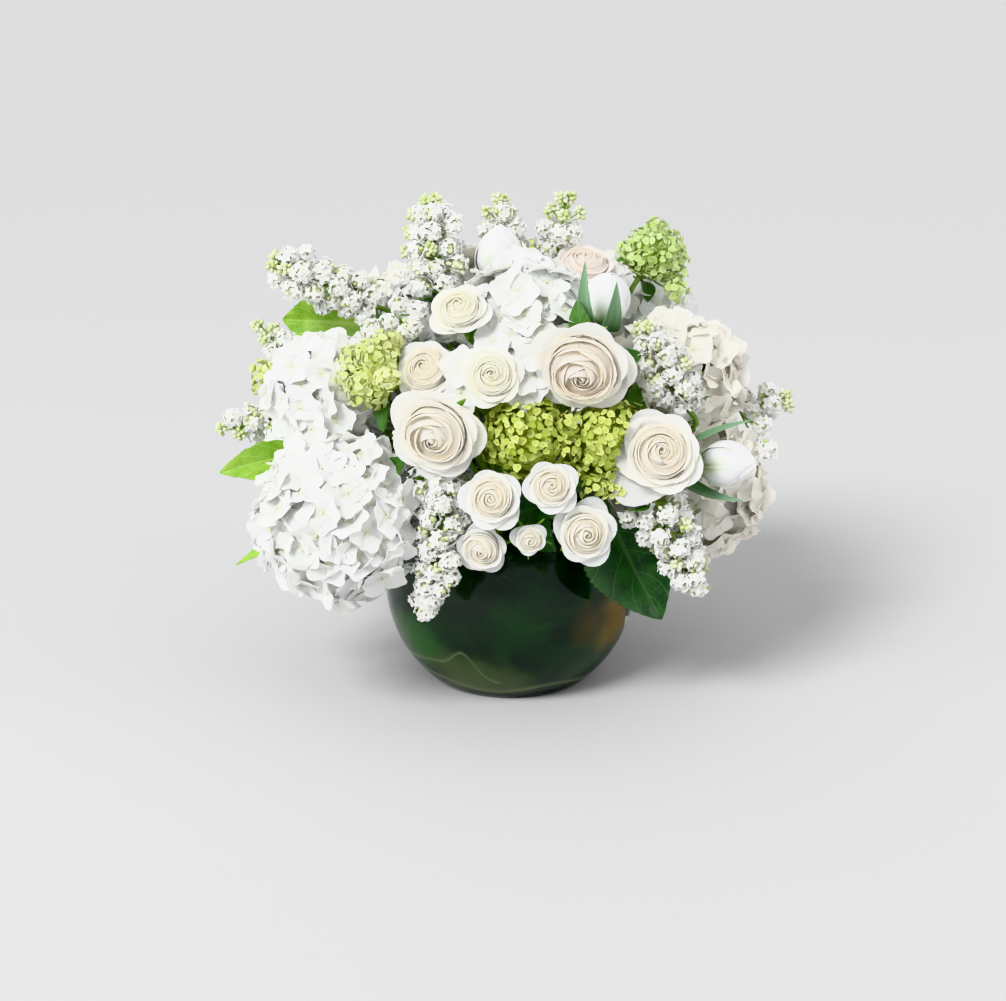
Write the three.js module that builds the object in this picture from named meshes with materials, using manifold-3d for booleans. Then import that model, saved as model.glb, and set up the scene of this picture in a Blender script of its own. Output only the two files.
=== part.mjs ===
// A round table centrepiece: roses, spray roses, tulips, hydrangeas, snowball viburnum and lilac
// standing in a globe bowl of clear glass that is lined with two broad leaves and filled with water.
// Millimetres, +Z up. The origin is the middle of the bowl's flat foot, and -Y is the front.
import * as THREE from 'three';
import { ConvexHull } from 'three/addons/math/ConvexHull.js';
import { mergeVertices } from 'three/addons/utils/BufferGeometryUtils.js';
import Module from 'manifold-3d';

const wasm = await Module();
wasm.setup();

// Bowl, water and the leaves that line the glass
const BOWL_RADIUS = 101.5;
const BOWL_CENTRE_Z = 79;
const BOWL_WALL = 3;
const BOWL_FLOOR = 5;
const BOWL_COLUMNS = 24;
const BOWL_ROWS = 6;
const MOUTH_Z = 158;
const WATER_LEVEL = 124;
const INNER_RADIUS = BOWL_RADIUS - BOWL_WALL;
const GAP = 0.35;
const LINING_THICKNESS = 0.8;
const LINING_RADIUS = INNER_RADIUS - GAP - LINING_THICKNESS / 2;
const WATER_RADIUS = LINING_RADIUS - LINING_THICKNESS - 1;

// Stems: those of one side of the bowl stand as a bundle in the water and part below the mouth.
const SECTORS = 8;
const BUNDLE_RADIUS = 6.5;
const BUNDLE_SIDES = 8;
const BUNDLE_FOOT_RING = 34;
const BUNDLE_FOOT_Z = 5.8;
const BUNDLE_TOP_RING = 27;
const BUNDLE_TOP_Z = 150;
const BUNDLE_TOP_REACH = 20;
const NECK_Z = 163;
const NECK_RADIUS = 54;
const NECK_RADIUS_LEAST = 9;
const FAN_CENTRE_Z = 150;
const STEM_SIDES = 4;
const STEM_STEPS = 3;
const SPRAY_STEM_RADIUS = 2.4;
const STEM_RADIUS = { hydrangea: 3, rose: 2.8, spray: 1.8, tulip: 3, viburnum: 2.4, lilac: 2.4 };

const LEAF_THICKNESS = 0.8;
const LEAF_BELLY = 0.66;

// Least clearances between one bloom and the next, and between a bloom and a stem or the glass
const BLOOM_CLEARANCE = 4;
const STEM_CLEARANCE = 0.6;
const BOWL_CLEARANCE = 2;
const NEARBY = 8;

const GOLDEN_ANGLE = Math.PI * (3 - Math.sqrt(5));

const FINISHES = {
  glass: { color: 0xdfeee6, roughness: 0.03, metalness: 0, transparent: true, opacity: 0.35 },
  water: { color: 0xcfe3dc, roughness: 0.02, metalness: 0, transparent: true, opacity: 0.35 },
  lining: { color: 0x1d4a1a, roughness: 0.4, metalness: 0 },
  hydrangea: { color: 0xf4f4ee, roughness: 0.75, metalness: 0 },
  rose: { color: 0xf5e9d3, roughness: 0.7, metalness: 0 },
  spray: { color: 0xf6f1e0, roughness: 0.7, metalness: 0 },
  tulip: { color: 0xf3f5ee, roughness: 0.55, metalness: 0 },
  viburnum: { color: 0xa9bf3a, roughness: 0.7, metalness: 0 },
  lilac: { color: 0xefede4, roughness: 0.75, metalness: 0 },
  stems: { color: 0x3f7a2c, roughness: 0.55, metalness: 0 },
};

// Each bloom's middle, the way it faces as [azimuth, elevation] in degrees, and its radius. Azimuth
// 0 faces the front and 90 the right. A lilac spike has its root, its tip and its radius instead.
const BLOOMS = [
  { name: 'rose_front_right', kind: 'rose', at: [53, -118, 288], face: [-8, -18], radius: 37 },
  { name: 'rose_front_left', kind: 'rose', at: [-54, -130, 241], face: [-14, -9], radius: 35 },
  { name: 'rose_right', kind: 'rose', at: [111, -120, 220], face: [0, 26], radius: 31 },
  { name: 'rose_top_left', kind: 'rose', at: [-38, -88, 320], face: [-15, 48], radius: 23 },
  { name: 'rose_left_small', kind: 'rose', at: [-62, -88, 275], face: [-24, 36], radius: 25,
    forkOf: 'rose_top_left' },
  { name: 'rose_middle_small', kind: 'rose', at: [-14, -118, 279], face: [-4, 26], radius: 23 },
  { name: 'rose_crown', kind: 'rose', at: [58, 18, 330], face: [12, 66], radius: 27 },
  { name: 'rose_back', kind: 'rose', at: [-2, 164, 248], face: [182, 14], radius: 34 },
  { name: 'rose_back_high', kind: 'rose', at: [-48, 72, 322], face: [-150, 56], radius: 30 },
  { name: 'spray_rose_1', kind: 'spray', at: [-14, -142, 193], face: [-6, 14], radius: 23 },
  { name: 'spray_rose_2', kind: 'spray', at: [29, -142, 202], face: [6, 18], radius: 20 },
  { name: 'spray_rose_3', kind: 'spray', at: [54, -137, 164], face: [12, 10], radius: 24 },
  { name: 'spray_rose_4', kind: 'spray', at: [-21, -128, 150], face: [-12, -8], radius: 20 },
  { name: 'spray_rose_5', kind: 'spray', at: [14, -138, 160], face: [4, -2], radius: 13.5 },
  { name: 'tulip_top', kind: 'tulip', at: [-9, 8, 345], face: [0, 84], radius: 20 },
  { name: 'tulip_front', kind: 'tulip', at: [72, -76, 330], face: [14, 60], radius: 19 },
  { name: 'tulip_right', kind: 'tulip', at: [166, -88, 203], face: [62, 10], radius: 19 },
  { name: 'tulip_back', kind: 'tulip', at: [44, 88, 325], face: [155, 60], radius: 19 },
  { name: 'viburnum_middle', kind: 'viburnum', at: [12, -110, 232], face: [2, 22], radius: 36 },
  { name: 'viburnum_middle_right', kind: 'viburnum', at: [70, -105, 226], face: [26, 14], radius: 36,
    forkOf: 'viburnum_middle' },
  { name: 'viburnum_left', kind: 'viburnum', at: [-101, -80, 272], face: [-50, 36], radius: 34 },
  { name: 'viburnum_far_left', kind: 'viburnum', at: [-188, -14, 250], face: [-86, 20], radius: 20 },
  { name: 'viburnum_top_right', kind: 'viburnum', at: [113, 45, 336], face: [112, 56], radius: 30 },
  { name: 'viburnum_back', kind: 'viburnum', at: [6, 118, 300], face: [176, 46], radius: 36 },
  { name: 'lilac_left', kind: 'lilac', root: [-102, -18, 308], tip: [-184, -30, 348], radius: 21 },
  { name: 'lilac_top_left', kind: 'lilac', root: [-56, -6, 312], tip: [-64, 12, 386], radius: 26 },
  { name: 'lilac_top', kind: 'lilac', root: [-4, 34, 322], tip: [-9, 38, 385], radius: 18 },
  { name: 'lilac_top_right', kind: 'lilac', root: [34, 42, 318], tip: [44, 36, 386], radius: 20,
    forkOf: 'lilac_top' },
  { name: 'lilac_front', kind: 'lilac', root: [-45, -116, 204], tip: [-64, -124, 92], radius: 20 },
  { name: 'lilac_right', kind: 'lilac', root: [136, -74, 240], tip: [97, -90, 312], radius: 21 },
  { name: 'lilac_right_low', kind: 'lilac', root: [107, -112, 183], tip: [142, -106, 111], radius: 23 },
  { name: 'lilac_far_left', kind: 'lilac', root: [-178, -40, 228], tip: [-226, -46, 216], radius: 15 },
  { name: 'lilac_left_high', kind: 'lilac', root: [-166, -18, 262], tip: [-198, -14, 296], radius: 13,
    forkOf: 'lilac_far_left' },
  { name: 'lilac_far_right', kind: 'lilac', root: [182, 26, 214], tip: [226, 32, 220], radius: 16 },
  { name: 'lilac_back', kind: 'lilac', root: [58, 150, 232], tip: [84, 184, 168], radius: 22 },
  { name: 'hydrangea_left', kind: 'hydrangea', at: [-131, -100, 163], face: [-53, -4], radius: 65 },
  { name: 'hydrangea_left_high', kind: 'hydrangea', at: [-140, -46, 245], face: [-72, 26], radius: 49 },
  { name: 'hydrangea_top', kind: 'hydrangea', at: [10, -55, 306], face: [6, 66], radius: 53 },
  { name: 'hydrangea_right_high', kind: 'hydrangea', at: [130, -8, 248], face: [88, 34], radius: 52 },
  { name: 'hydrangea_right', kind: 'hydrangea', at: [146, -12, 158], face: [86, -4], radius: 57 },
  { name: 'hydrangea_left_back', kind: 'hydrangea', at: [-144, 54, 192], face: [-110, 4], radius: 64 },
  { name: 'hydrangea_back_left', kind: 'hydrangea', at: [-88, 116, 246], face: [-148, 24], radius: 63 },
  { name: 'hydrangea_back_right', kind: 'hydrangea', at: [92, 104, 256], face: [140, 28], radius: 64 },
  { name: 'hydrangea_back_low', kind: 'hydrangea', at: [-10, 148, 162], face: [180, -4], radius: 62 },
  { name: 'hydrangea_right_back', kind: 'hydrangea', at: [120, 92, 162], face: [126, -4], radius: 58 },
  { name: 'hydrangea_crown', kind: 'hydrangea', at: [-60, 26, 284], face: [-110, 72], radius: 46 },
];

// Leaves: the bloom whose stem each grows on and how far up it, the point that it bends towards, its
// tip, its greatest width, the way that it faces, the share that is stalk, and its rows of teeth.
const LEAVES = [
  { on: 'lilac_right_low', share: 0.62, by: [74, -86, 152], tip: [117, -92, 78], width: 72,
    face: [0.3, -1, 0.3], stalk: 0.35, rows: 9 },
  { on: 'hydrangea_left_back', share: 0.7, by: [-160, -50, 206], tip: [-224, -70, 190], width: 34,
    face: [-0.1, -1, 0.2], stalk: 0.58, rows: 7 },
  { on: 'lilac_left', share: 0.86, by: [-130, 18, 288], tip: [-180, 10, 292], width: 48,
    face: [0, -1, 0.3], stalk: 0.3, rows: 6 },
  { on: 'hydrangea_left_back', share: 0.55, by: [-112, -6, 148], tip: [-216, -56, 110], width: 34,
    face: [-0.6, -0.4, 1], stalk: 0.4, rows: 6 },
  { on: 'hydrangea_back_right', share: 0.6, by: [48, 100, 140], tip: [70, 172, 88], width: 36,
    face: [0.4, 1, 0.5], stalk: 0.5, rows: 6 },
  { on: 'tulip_right', share: 0.82, by: [138, -84, 226], tip: [180, -98, 240], width: 13,
    face: [0.2, -0.4, 1], stalk: 0, rows: 4 },
  { on: 'tulip_right', share: 0.84, by: [142, -92, 176], tip: [174, -114, 182], width: 13,
    face: [0.2, -0.6, 1], stalk: 0, rows: 4 },
  { on: 'tulip_front', share: 0.93, by: [60, -110, 303], tip: [54, -108, 364], width: 11,
    face: [-0.3, -1, 0.2], stalk: 0, rows: 4 },
  { on: 'tulip_front', share: 0.93, by: [66, -102, 300], tip: [84, -112, 350], width: 13,
    face: [0.2, -1, 0.2], stalk: 0, rows: 4 },
];

// The two leaves that line the glass: the column of the glass that each starts at and how many it
// covers, counted from the front towards the right, with its lowest and highest edges
const LININGS = [
  { name: 'bowl_leaf_front', from: -8, columns: 13, low: 16, high: 136 },
  { name: 'bowl_leaf_back', from: 6, columns: 9, low: 38, high: 134 },
];

// Florets on each kind of head: how many, how far round the head they reach in degrees, and the
// heights, as shares of the head's radius, of petal tips, the notches between them, the eye and the
// gaps between florets.
const HEADS = {
  hydrangea: { count: 17, reach: 126, tip: 1, notch: 0.88, eye: 0.94, gap: 0.72, notchWidth: 0.62 },
  viburnum: { count: 20, reach: 130, tip: 1, notch: 0, eye: 0.95, gap: 0.76, notchWidth: 0 },
  lilac: { count: 17, reach: 165, tip: 1, notch: 0, eye: 0.86, gap: 0.5, notchWidth: 0 },
};

// Roses and tulips, from the seat of the stem to the middle of the bud, as shares of the radius:
// [radius, height, petals round this rim, how much they shape it]
const LARGE_ROSE = { columns: 15, profile: [[0, 0, 1, 0], [0.17, 0, 1, 0], [0.56, 0.14, 5, 0.3],
  [0.9, 0.4, 5, 0.8], [1.0, 0.62, 5, 1], [0.94, 0.68, 5, 1], [0.66, 0.46, 5, 0.3], [0.76, 0.86, 5, 1],
  [0.46, 0.62, 3, 0.2], [0.5, 1.0, 3, 1], [0.24, 0.74, 3, 0.2], [0.26, 1.08, 3, 0.8], [0, 0.86, 1, 0]] };
const MEDIUM_ROSE = { columns: 12, profile: [[0, 0, 1, 0], [0.2, 0, 1, 0], [0.6, 0.16, 4, 0.3],
  [0.98, 0.58, 4, 1], [0.92, 0.66, 4, 1], [0.62, 0.46, 4, 0.3], [0.72, 0.9, 4, 1], [0.4, 0.64, 3, 0.2],
  [0.42, 1.06, 3, 1], [0, 0.82, 1, 0]] };
const SMALL_ROSE = { columns: 12, profile: [[0, 0, 1, 0], [0.2, 0, 1, 0], [0.66, 0.2, 4, 0.4],
  [0.98, 0.62, 4, 1], [0.6, 0.5, 4, 0.3], [0.62, 0.98, 3, 1], [0.3, 0.7, 3, 0.3], [0.28, 1.08, 3, 1],
  [0, 0.86, 1, 0]] };
const TULIP = { columns: 12, profile: [[0, 0, 1, 0], [0.22, 0, 1, 0], [0.76, 0.4, 3, 0.3],
  [1.0, 1.0, 3, 0.8], [0.86, 1.7, 3, 1], [0.42, 2.4, 3, 1.4], [0.3, 2.1, 3, 0.5], [0, 2.2, 1, 0]] };
const PETAL_STEP = 0.1;
const PETAL_ARCH = 0.14;

// How far behind its middle a bloom's root lies, and how far the bloom reaches along its axis, as
// shares of its radius
const ROOT_DEPTH = { rose: 0.54, spray: 0.54, tulip: 1.2, viburnum: 0.5, hydrangea: 0.5 };
const AXIAL_REACH = { rose: 0.62, spray: 0.62, tulip: 1.22, viburnum: 1, hydrangea: 1 };

// Where two blooms press on each other, the lower rank keeps its shape and the higher gives way.
const RANK = { rose: 0, spray: 0, tulip: 0, lilac: 1, viburnum: 2, hydrangea: 2 };

const rad = THREE.MathUtils.degToRad;
const UP = new THREE.Vector3(0, 0, 1);

// Repeatable random numbers from 0 to 1, seeded by a word
function seeded(word) {
  let state = 2166136261;
  for (const letter of word) state = Math.imul(state ^ letter.charCodeAt(0), 16777619);
  return () => {
    state = (state + 0x6d2b79f5) | 0;
    let t = Math.imul(state ^ (state >>> 15), 1 | state);
    t = (t + Math.imul(t ^ (t >>> 7), 61 | t)) ^ t;
    return ((t ^ (t >>> 14)) >>> 0) / 4294967296;
  };
}

const vector = (list) => new THREE.Vector3(...list);

function facing([azimuth, elevation]) {
  const a = rad(azimuth);
  const e = rad(elevation);
  return new THREE.Vector3(Math.cos(e) * Math.sin(a), -Math.cos(e) * Math.cos(a), Math.sin(e));
}

// Moves local geometry so that its origin is at a point and its +Z looks along an axis
function placement(at, axis) {
  const turn = new THREE.Quaternion().setFromUnitVectors(UP, axis);
  return new THREE.Matrix4().compose(at, turn, new THREE.Vector3(1, 1, 1));
}

// A closed geometry as a solid, with shared vertices merged and collapsed triangles left out
function solid(geometry) {
  const bare = new THREE.BufferGeometry().setAttribute('position', geometry.getAttribute('position'));
  if (geometry.index) bare.setIndex(geometry.index);
  const merged = mergeVertices(bare, 1e-3);
  const index = merged.index.array;
  const kept = [];
  for (let i = 0; i < index.length; i += 3) {
    const [a, b, c] = [index[i], index[i + 1], index[i + 2]];
    if (a !== b && b !== c && c !== a) kept.push(a, b, c);
  }
  return new wasm.Manifold(new wasm.Mesh({
    numProp: 3,
    vertProperties: new Float32Array(merged.getAttribute('position').array),
    triVerts: new Uint32Array(kept),
  }));
}

function geometryOf(body) {
  const mesh = body.getMesh();
  const geometry = new THREE.BufferGeometry();
  geometry.setAttribute('position', new THREE.BufferAttribute(new Float32Array(mesh.vertProperties), 3));
  geometry.setIndex(new THREE.BufferAttribute(new Uint32Array(mesh.triVerts), 1));
  geometry.computeVertexNormals();
  return geometry;
}

function lathe(profile, segments) {
  const geometry = new THREE.LatheGeometry(profile.map(([r, z]) => new THREE.Vector2(r, z)), segments);
  return geometry.rotateX(Math.PI / 2);
}

// A thin closed blade: a grid bent by point(u, v), given its thickness along its own normals. Both
// faces are split into the same triangles.
function blade(across, along, thickness, point) {
  const sheet = new THREE.PlaneGeometry(1, 1, across, along);
  const place = sheet.getAttribute('position');
  for (let i = 0; i < place.count; i += 1) {
    const bent = point(place.getX(i) + 0.5, place.getY(i) + 0.5);
    place.setXYZ(i, bent.x, bent.y, bent.z);
  }
  sheet.computeVertexNormals();
  const normal = sheet.getAttribute('normal');
  const count = place.count;
  const vertices = new Float32Array(count * 6);
  for (let i = 0; i < count; i += 1) {
    for (let axis = 0; axis < 3; axis += 1) {
      const offset = normal.getComponent(i, axis) * thickness / 2;
      vertices[i * 3 + axis] = place.getComponent(i, axis) + offset;
      vertices[(count + i) * 3 + axis] = place.getComponent(i, axis) - offset;
    }
  }
  const faces = [];
  const rim = new Map();
  const index = sheet.index.array;
  for (let i = 0; i < index.length; i += 3) {
    const [a, b, c] = [index[i], index[i + 1], index[i + 2]];
    faces.push(a, b, c, count + a, count + c, count + b);
    [[a, b], [b, c], [c, a]].forEach(([from, to]) => {
      if (!rim.delete(`${to} ${from}`)) rim.set(`${from} ${to}`, [from, to]);
    });
  }
  rim.forEach(([from, to]) => faces.push(to, from, count + from, to, count + from, count + to));
  const geometry = new THREE.BufferGeometry();
  geometry.setAttribute('position', new THREE.BufferAttribute(vertices, 3));
  geometry.setIndex(faces);
  return geometry;
}

// The ellipsoid that a bloom fills
function envelopeOf(bloom) {
  if (bloom.kind === 'lilac') {
    const root = vector(bloom.root);
    const axis = vector(bloom.tip).sub(root);
    const half = axis.length() / 2;
    axis.normalize();
    return { centre: root.addScaledVector(axis, half), axis, long: half, wide: bloom.radius };
  }
  return {
    centre: vector(bloom.at),
    axis: facing(bloom.face),
    long: bloom.radius * AXIAL_REACH[bloom.kind],
    wide: bloom.radius,
  };
}

const blooms = BLOOMS.map((bloom) => {
  const envelope = envelopeOf(bloom);
  const depth = bloom.kind === 'lilac' ? envelope.long : bloom.radius * ROOT_DEPTH[bloom.kind];
  const root = envelope.centre.clone().addScaledVector(envelope.axis, -depth);
  return { ...bloom, envelope, root, axis: envelope.axis };
});

function sectorOf(point) {
  const turn = Math.atan2(point.x, -point.y) / (2 * Math.PI);
  return Math.floor((turn + 1) * SECTORS) % SECTORS;
}

function ringPoint(sector, radius, z) {
  const angle = (sector + 0.5) / SECTORS * 2 * Math.PI;
  return new THREE.Vector3(radius * Math.sin(angle), -radius * Math.cos(angle), z);
}

// Where a stem crosses the bowl's mouth: near the rim for low blooms and near the middle for high ones
function neckPoint(towards) {
  const flat = Math.hypot(towards.x, towards.y);
  const elevation = THREE.MathUtils.radToDeg(Math.atan2(towards.z - FAN_CENTRE_Z, flat));
  const out = THREE.MathUtils.clamp(NECK_RADIUS * (90 - elevation) / 85, NECK_RADIUS_LEAST, NECK_RADIUS);
  return new THREE.Vector3(towards.x / flat * out, towards.y / flat * out, NECK_Z);
}

const smooth = (points) => new THREE.CatmullRomCurve3(points, false, 'centripetal');

// A stem's points from the bowl's mouth, over the rim and into the root of its bloom
function stemRoute(bloom) {
  const end = bloom.root.clone().addScaledVector(bloom.axis, -GAP);
  const before = end.clone().addScaledVector(bloom.axis, -12);
  const neck = neckPoint(before);
  const lift = Math.max(0, NECK_Z + 26 - before.z) * 0.5;
  const middle = neck.clone().lerp(before, 0.45).add(new THREE.Vector3(0, 0, 5 + lift));
  return [neck, middle, before, end];
}

// A branch: a bloom's stem with its route, and how far out it crosses the bowl's mouth
function branch(sector, radius, route, bloom) {
  return { sector, radius, route, bloom, out: Math.hypot(route[0].x, route[0].y) };
}

const branches = blooms.filter((bloom) => bloom.kind !== 'spray' && !bloom.forkOf)
  .map((bloom) => branch(sectorOf(bloom.root), STEM_RADIUS[bloom.kind], stemRoute(bloom), bloom));

// The spray roses share one stem, which forks just over the rim.
const SPRAY_FORK = new THREE.Vector3(10, -90, 172);
const SPRAY_NECK = new THREE.Vector3(6, -NECK_RADIUS, NECK_Z + 3);
const SPRAY_ROUTE = [SPRAY_NECK, new THREE.Vector3(9, -78, 174), SPRAY_FORK];
branches.push(branch(sectorOf(SPRAY_FORK), SPRAY_STEM_RADIUS, SPRAY_ROUTE));

// A sector's stems leave the top of its bundle one above the other, the outermost lowest.
const stems = [];
const bundles = Array.from({ length: SECTORS }, (_, sector) => {
  const foot = ringPoint(sector, BUNDLE_FOOT_RING, BUNDLE_FOOT_Z);
  const top = ringPoint(sector, BUNDLE_TOP_RING, BUNDLE_TOP_Z);
  const own = branches.filter((one) => one.sector === sector);
  own.sort((one, other) => other.out - one.out);
  own.forEach((one, i) => {
    const down = BUNDLE_TOP_REACH * (1 - i / Math.max(own.length - 1, 1)) + 2;
    const from = top.clone().lerp(foot, down / top.distanceTo(foot));
    stems.push({ ...one, steps: STEM_STEPS, line: smooth([from, ...one.route]) });
  });
  return new THREE.LineCurve3(foot, top);
});
// Forked stems: the spray roses' and those of blooms that share another bloom's branch
blooms.filter((bloom) => bloom.kind === 'spray' || bloom.forkOf).forEach((bloom) => {
  const parent = stems.find((stem) => stem.bloom && stem.bloom.name === bloom.forkOf);
  const from = parent ? parent.route[1] : SPRAY_FORK.clone().add(new THREE.Vector3(0, 2, 0));
  const end = bloom.root.clone().addScaledVector(bloom.axis, -GAP);
  const before = end.clone().addScaledVector(bloom.axis, -7);
  const sector = parent ? parent.sector : sectorOf(SPRAY_FORK);
  stems.push({ bloom, sector, radius: STEM_RADIUS[bloom.kind], steps: 2, line: smooth([from, before, end]) });
});

// A tube of a few flat sides along a line
function tube(line, radius, sides, steps) {
  const section = new THREE.Shape(Array.from({ length: sides }, (_, i) => {
    const angle = i / sides * 2 * Math.PI;
    return new THREE.Vector2(radius * Math.cos(angle), radius * Math.sin(angle));
  }));
  return solid(new THREE.ExtrudeGeometry(section, { steps, extrudePath: line, bevelEnabled: false }));
}

// Distance along a ray to an ellipsoid that stands in its way
function distanceTo({ centre, axis, long, wide }, from, direction) {
  const squash = (v) => {
    const along = v.dot(axis);
    return v.clone().addScaledVector(axis, -along).divideScalar(wide).addScaledVector(axis, along / long);
  };
  const start = squash(from.clone().sub(centre));
  const ray = squash(direction);
  const a = ray.lengthSq();
  const b = start.dot(ray);
  const c = start.lengthSq() - 1;
  if (c <= 0) return 0;
  const root = b * b - a * c;
  return b < 0 && root > 0 ? (-b - Math.sqrt(root)) / a : Infinity;
}

const grown = (envelope, by) => ({ ...envelope, long: envelope.long + by, wide: envelope.wide + by });
const ball = (centre, radius) => ({ centre, axis: UP, long: radius, wide: radius });
const BOWL_SPACE = ball(new THREE.Vector3(0, 0, BOWL_CENTRE_Z), BOWL_RADIUS + BOWL_CLEARANCE);

// The blooms that press on a bloom, as ellipsoids, and the planes that divide it from its equals
function surroundings(bloom) {
  const bodies = [BOWL_SPACE];
  const planes = [];
  const own = bloom.envelope;
  blooms.filter((other) => other !== bloom).forEach((other) => {
    const their = other.envelope;
    const between = their.centre.clone().sub(own.centre);
    const distance = between.length();
    if (distance > Math.max(own.long, own.wide) + Math.max(their.long, their.wide) + NEARBY) return;
    if (RANK[other.kind] < RANK[bloom.kind]) bodies.push(grown(their, BLOOM_CLEARANCE));
    if (RANK[other.kind] === RANK[bloom.kind]) {
      const share = (distance ** 2 + own.wide ** 2 - their.wide ** 2) / (2 * distance);
      planes.push({ normal: between.normalize(), offset: share - BLOOM_CLEARANCE / 2 });
    }
  });
  return { bodies, planes, centre: own.centre };
}

// Draws a point in towards its own bloom until it is clear of what stands near
function yieldTo({ bodies, planes, centre }, from, point) {
  const direction = point.clone().sub(from);
  let distance = direction.length();
  if (distance < 1e-6) return point;
  direction.normalize();
  bodies.forEach((body) => { distance = Math.min(distance, distanceTo(body, from, direction)); });
  planes.forEach(({ normal, offset }) => {
    const rate = direction.dot(normal);
    const room = offset - from.clone().sub(centre).dot(normal);
    if (rate > 1e-6) distance = Math.min(distance, room / rate);
  });
  return from.clone().addScaledVector(direction, Math.max(distance, 2));
}

// A head with a hole wherever another bloom's stem passes through it, less any scrap cut loose
function passStems(bloom, body) {
  const { centre, long, wide } = bloom.envelope;
  const room = Math.max(long, wide);
  const passing = stems.filter((stem) => stem.bloom !== bloom
    && stem.line.getSpacedPoints(24).some((point) => point.distanceTo(centre) < room + NEARBY));
  const holes = passing.map((stem) => tube(stem.line, stem.radius + STEM_CLEARANCE, STEM_SIDES, stem.steps));
  const pieces = wasm.Manifold.difference([body, ...holes]).decompose();
  return pieces.sort((one, other) => other.volume() - one.volume())[0];
}

// The triangles of a hull, each as the three points that it joins
function hullFaces(points) {
  return new ConvexHull().setFromPoints(points).faces.map((face) => {
    const corners = [];
    let edge = face.edge;
    do {
      corners.push(edge.head().point);
      edge = edge.next;
    } while (edge !== face.edge);
    return corners;
  });
}

// The points of a head of florets. They lie on an ellipsoid, and each has the height that it is set
// to later: petal tips out, gaps between florets deep.
function headPoints(bloom) {
  const { count, reach, tip, notch, eye, gap, notchWidth } = HEADS[bloom.kind];
  const { wide, long } = bloom.envelope;
  const random = seeded(bloom.name);
  const onSkin = (v) => v.clone().divideScalar(Math.hypot(v.x / wide, v.y / wide, v.z / long));
  const lowest = Math.cos(rad(reach));
  const slant = long > wide ? long * 0.85 : wide;
  const spread = 0.5 * Math.sqrt(2 * Math.PI * wide * slant * (1 - lowest) / count);
  const points = [];
  const middles = [];
  const add = (place, height) => points.push(Object.assign(place, { height }));
  for (let i = 0; i < count; i += 1) {
    const up = 1 - (1 - lowest) * (i + 0.5) / count;
    const flat = Math.sqrt(1 - up * up) * wide;
    const turn = i * GOLDEN_ANGLE;
    const middle = new THREE.Vector3(flat * Math.cos(turn), flat * Math.sin(turn), up * long);
    const normal = middle.clone().divide(new THREE.Vector3(wide ** 2, wide ** 2, long ** 2)).normalize();
    const side = new THREE.Vector3(0.31, 0.2, 0.93).cross(normal).normalize();
    middles.push(middle);
    add(middle, eye);
    const start = random() * Math.PI / 2;
    const size = spread * (0.94 + 0.12 * random());
    for (let k = 0; k < 8; k += 1) {
      const petal = k % 2 === 0;
      if (petal || notch) {
        const ray = side.clone().applyAxisAngle(normal, start + k * Math.PI / 4);
        const rim = onSkin(middle.clone().addScaledVector(ray, size * (petal ? 1 : notchWidth)));
        add(rim, petal ? tip * (0.97 + 0.06 * random()) : notch);
      }
    }
  }
  const pole = new THREE.Vector3(0, 0, -long);
  hullFaces([...middles, pole]).forEach((corners) => {
    const middle = new THREE.Vector3().add(corners[0]).add(corners[1]).add(corners[2]);
    add(onSkin(middle), corners.includes(pole) ? 0.8 : gap);
  });
  return points;
}

// A dense head as one closed skin, with a flat seat for its stem below. A hull joins its points
// into triangles. Then each point moves to its height, a ball's from the middle and a spike's from
// its axis, and is drawn in where a neighbour presses on it.
function headSolid(bloom) {
  const { wide, long } = bloom.envelope;
  const spike = bloom.kind === 'lilac';
  const points = headPoints(bloom);
  const seatDepth = spike ? long : bloom.radius * ROOT_DEPTH[bloom.kind];
  const seatWidth = STEM_RADIUS[bloom.kind] + 2;
  const seat = [new THREE.Vector3(0, 0, -long)];
  for (let i = 0; i < 5; i += 1) {
    const angle = i / 5 * 2 * Math.PI;
    const lift = -long * Math.sqrt(1 - (seatWidth / wide) ** 2);
    seat.push(new THREE.Vector3(seatWidth * Math.cos(angle), seatWidth * Math.sin(angle), lift));
  }
  const faces = hullFaces([...points, ...seat]);
  const around = surroundings(bloom);
  const frame = placement(bloom.envelope.centre, bloom.axis);
  const numbers = new Map();
  const vertices = [];
  const put = (point, place) => {
    numbers.set(point, numbers.size);
    vertices.push(place.x, place.y, place.z);
  };
  points.forEach((point) => {
    const from = new THREE.Vector3(0, 0, spike ? Math.max(point.z, 2 - long) : 0);
    const place = point.clone().setZ(spike ? from.z : point.z);
    const height = point.height * (spike ? 1.12 - 0.42 * (point.z / long + 1) / 2 : 1);
    const out = from.clone().lerp(place, height).applyMatrix4(frame);
    put(point, yieldTo(around, from.applyMatrix4(frame), out));
  });
  seat.forEach((point) => put(point, new THREE.Vector3(point.x, point.y, -seatDepth).applyMatrix4(frame)));
  const geometry = new THREE.BufferGeometry();
  geometry.setAttribute('position', new THREE.Float32BufferAttribute(vertices, 3));
  geometry.setIndex(faces.flatMap((corners) => corners.map((corner) => numbers.get(corner))));
  return passStems(bloom, solid(geometry));
}

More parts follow.
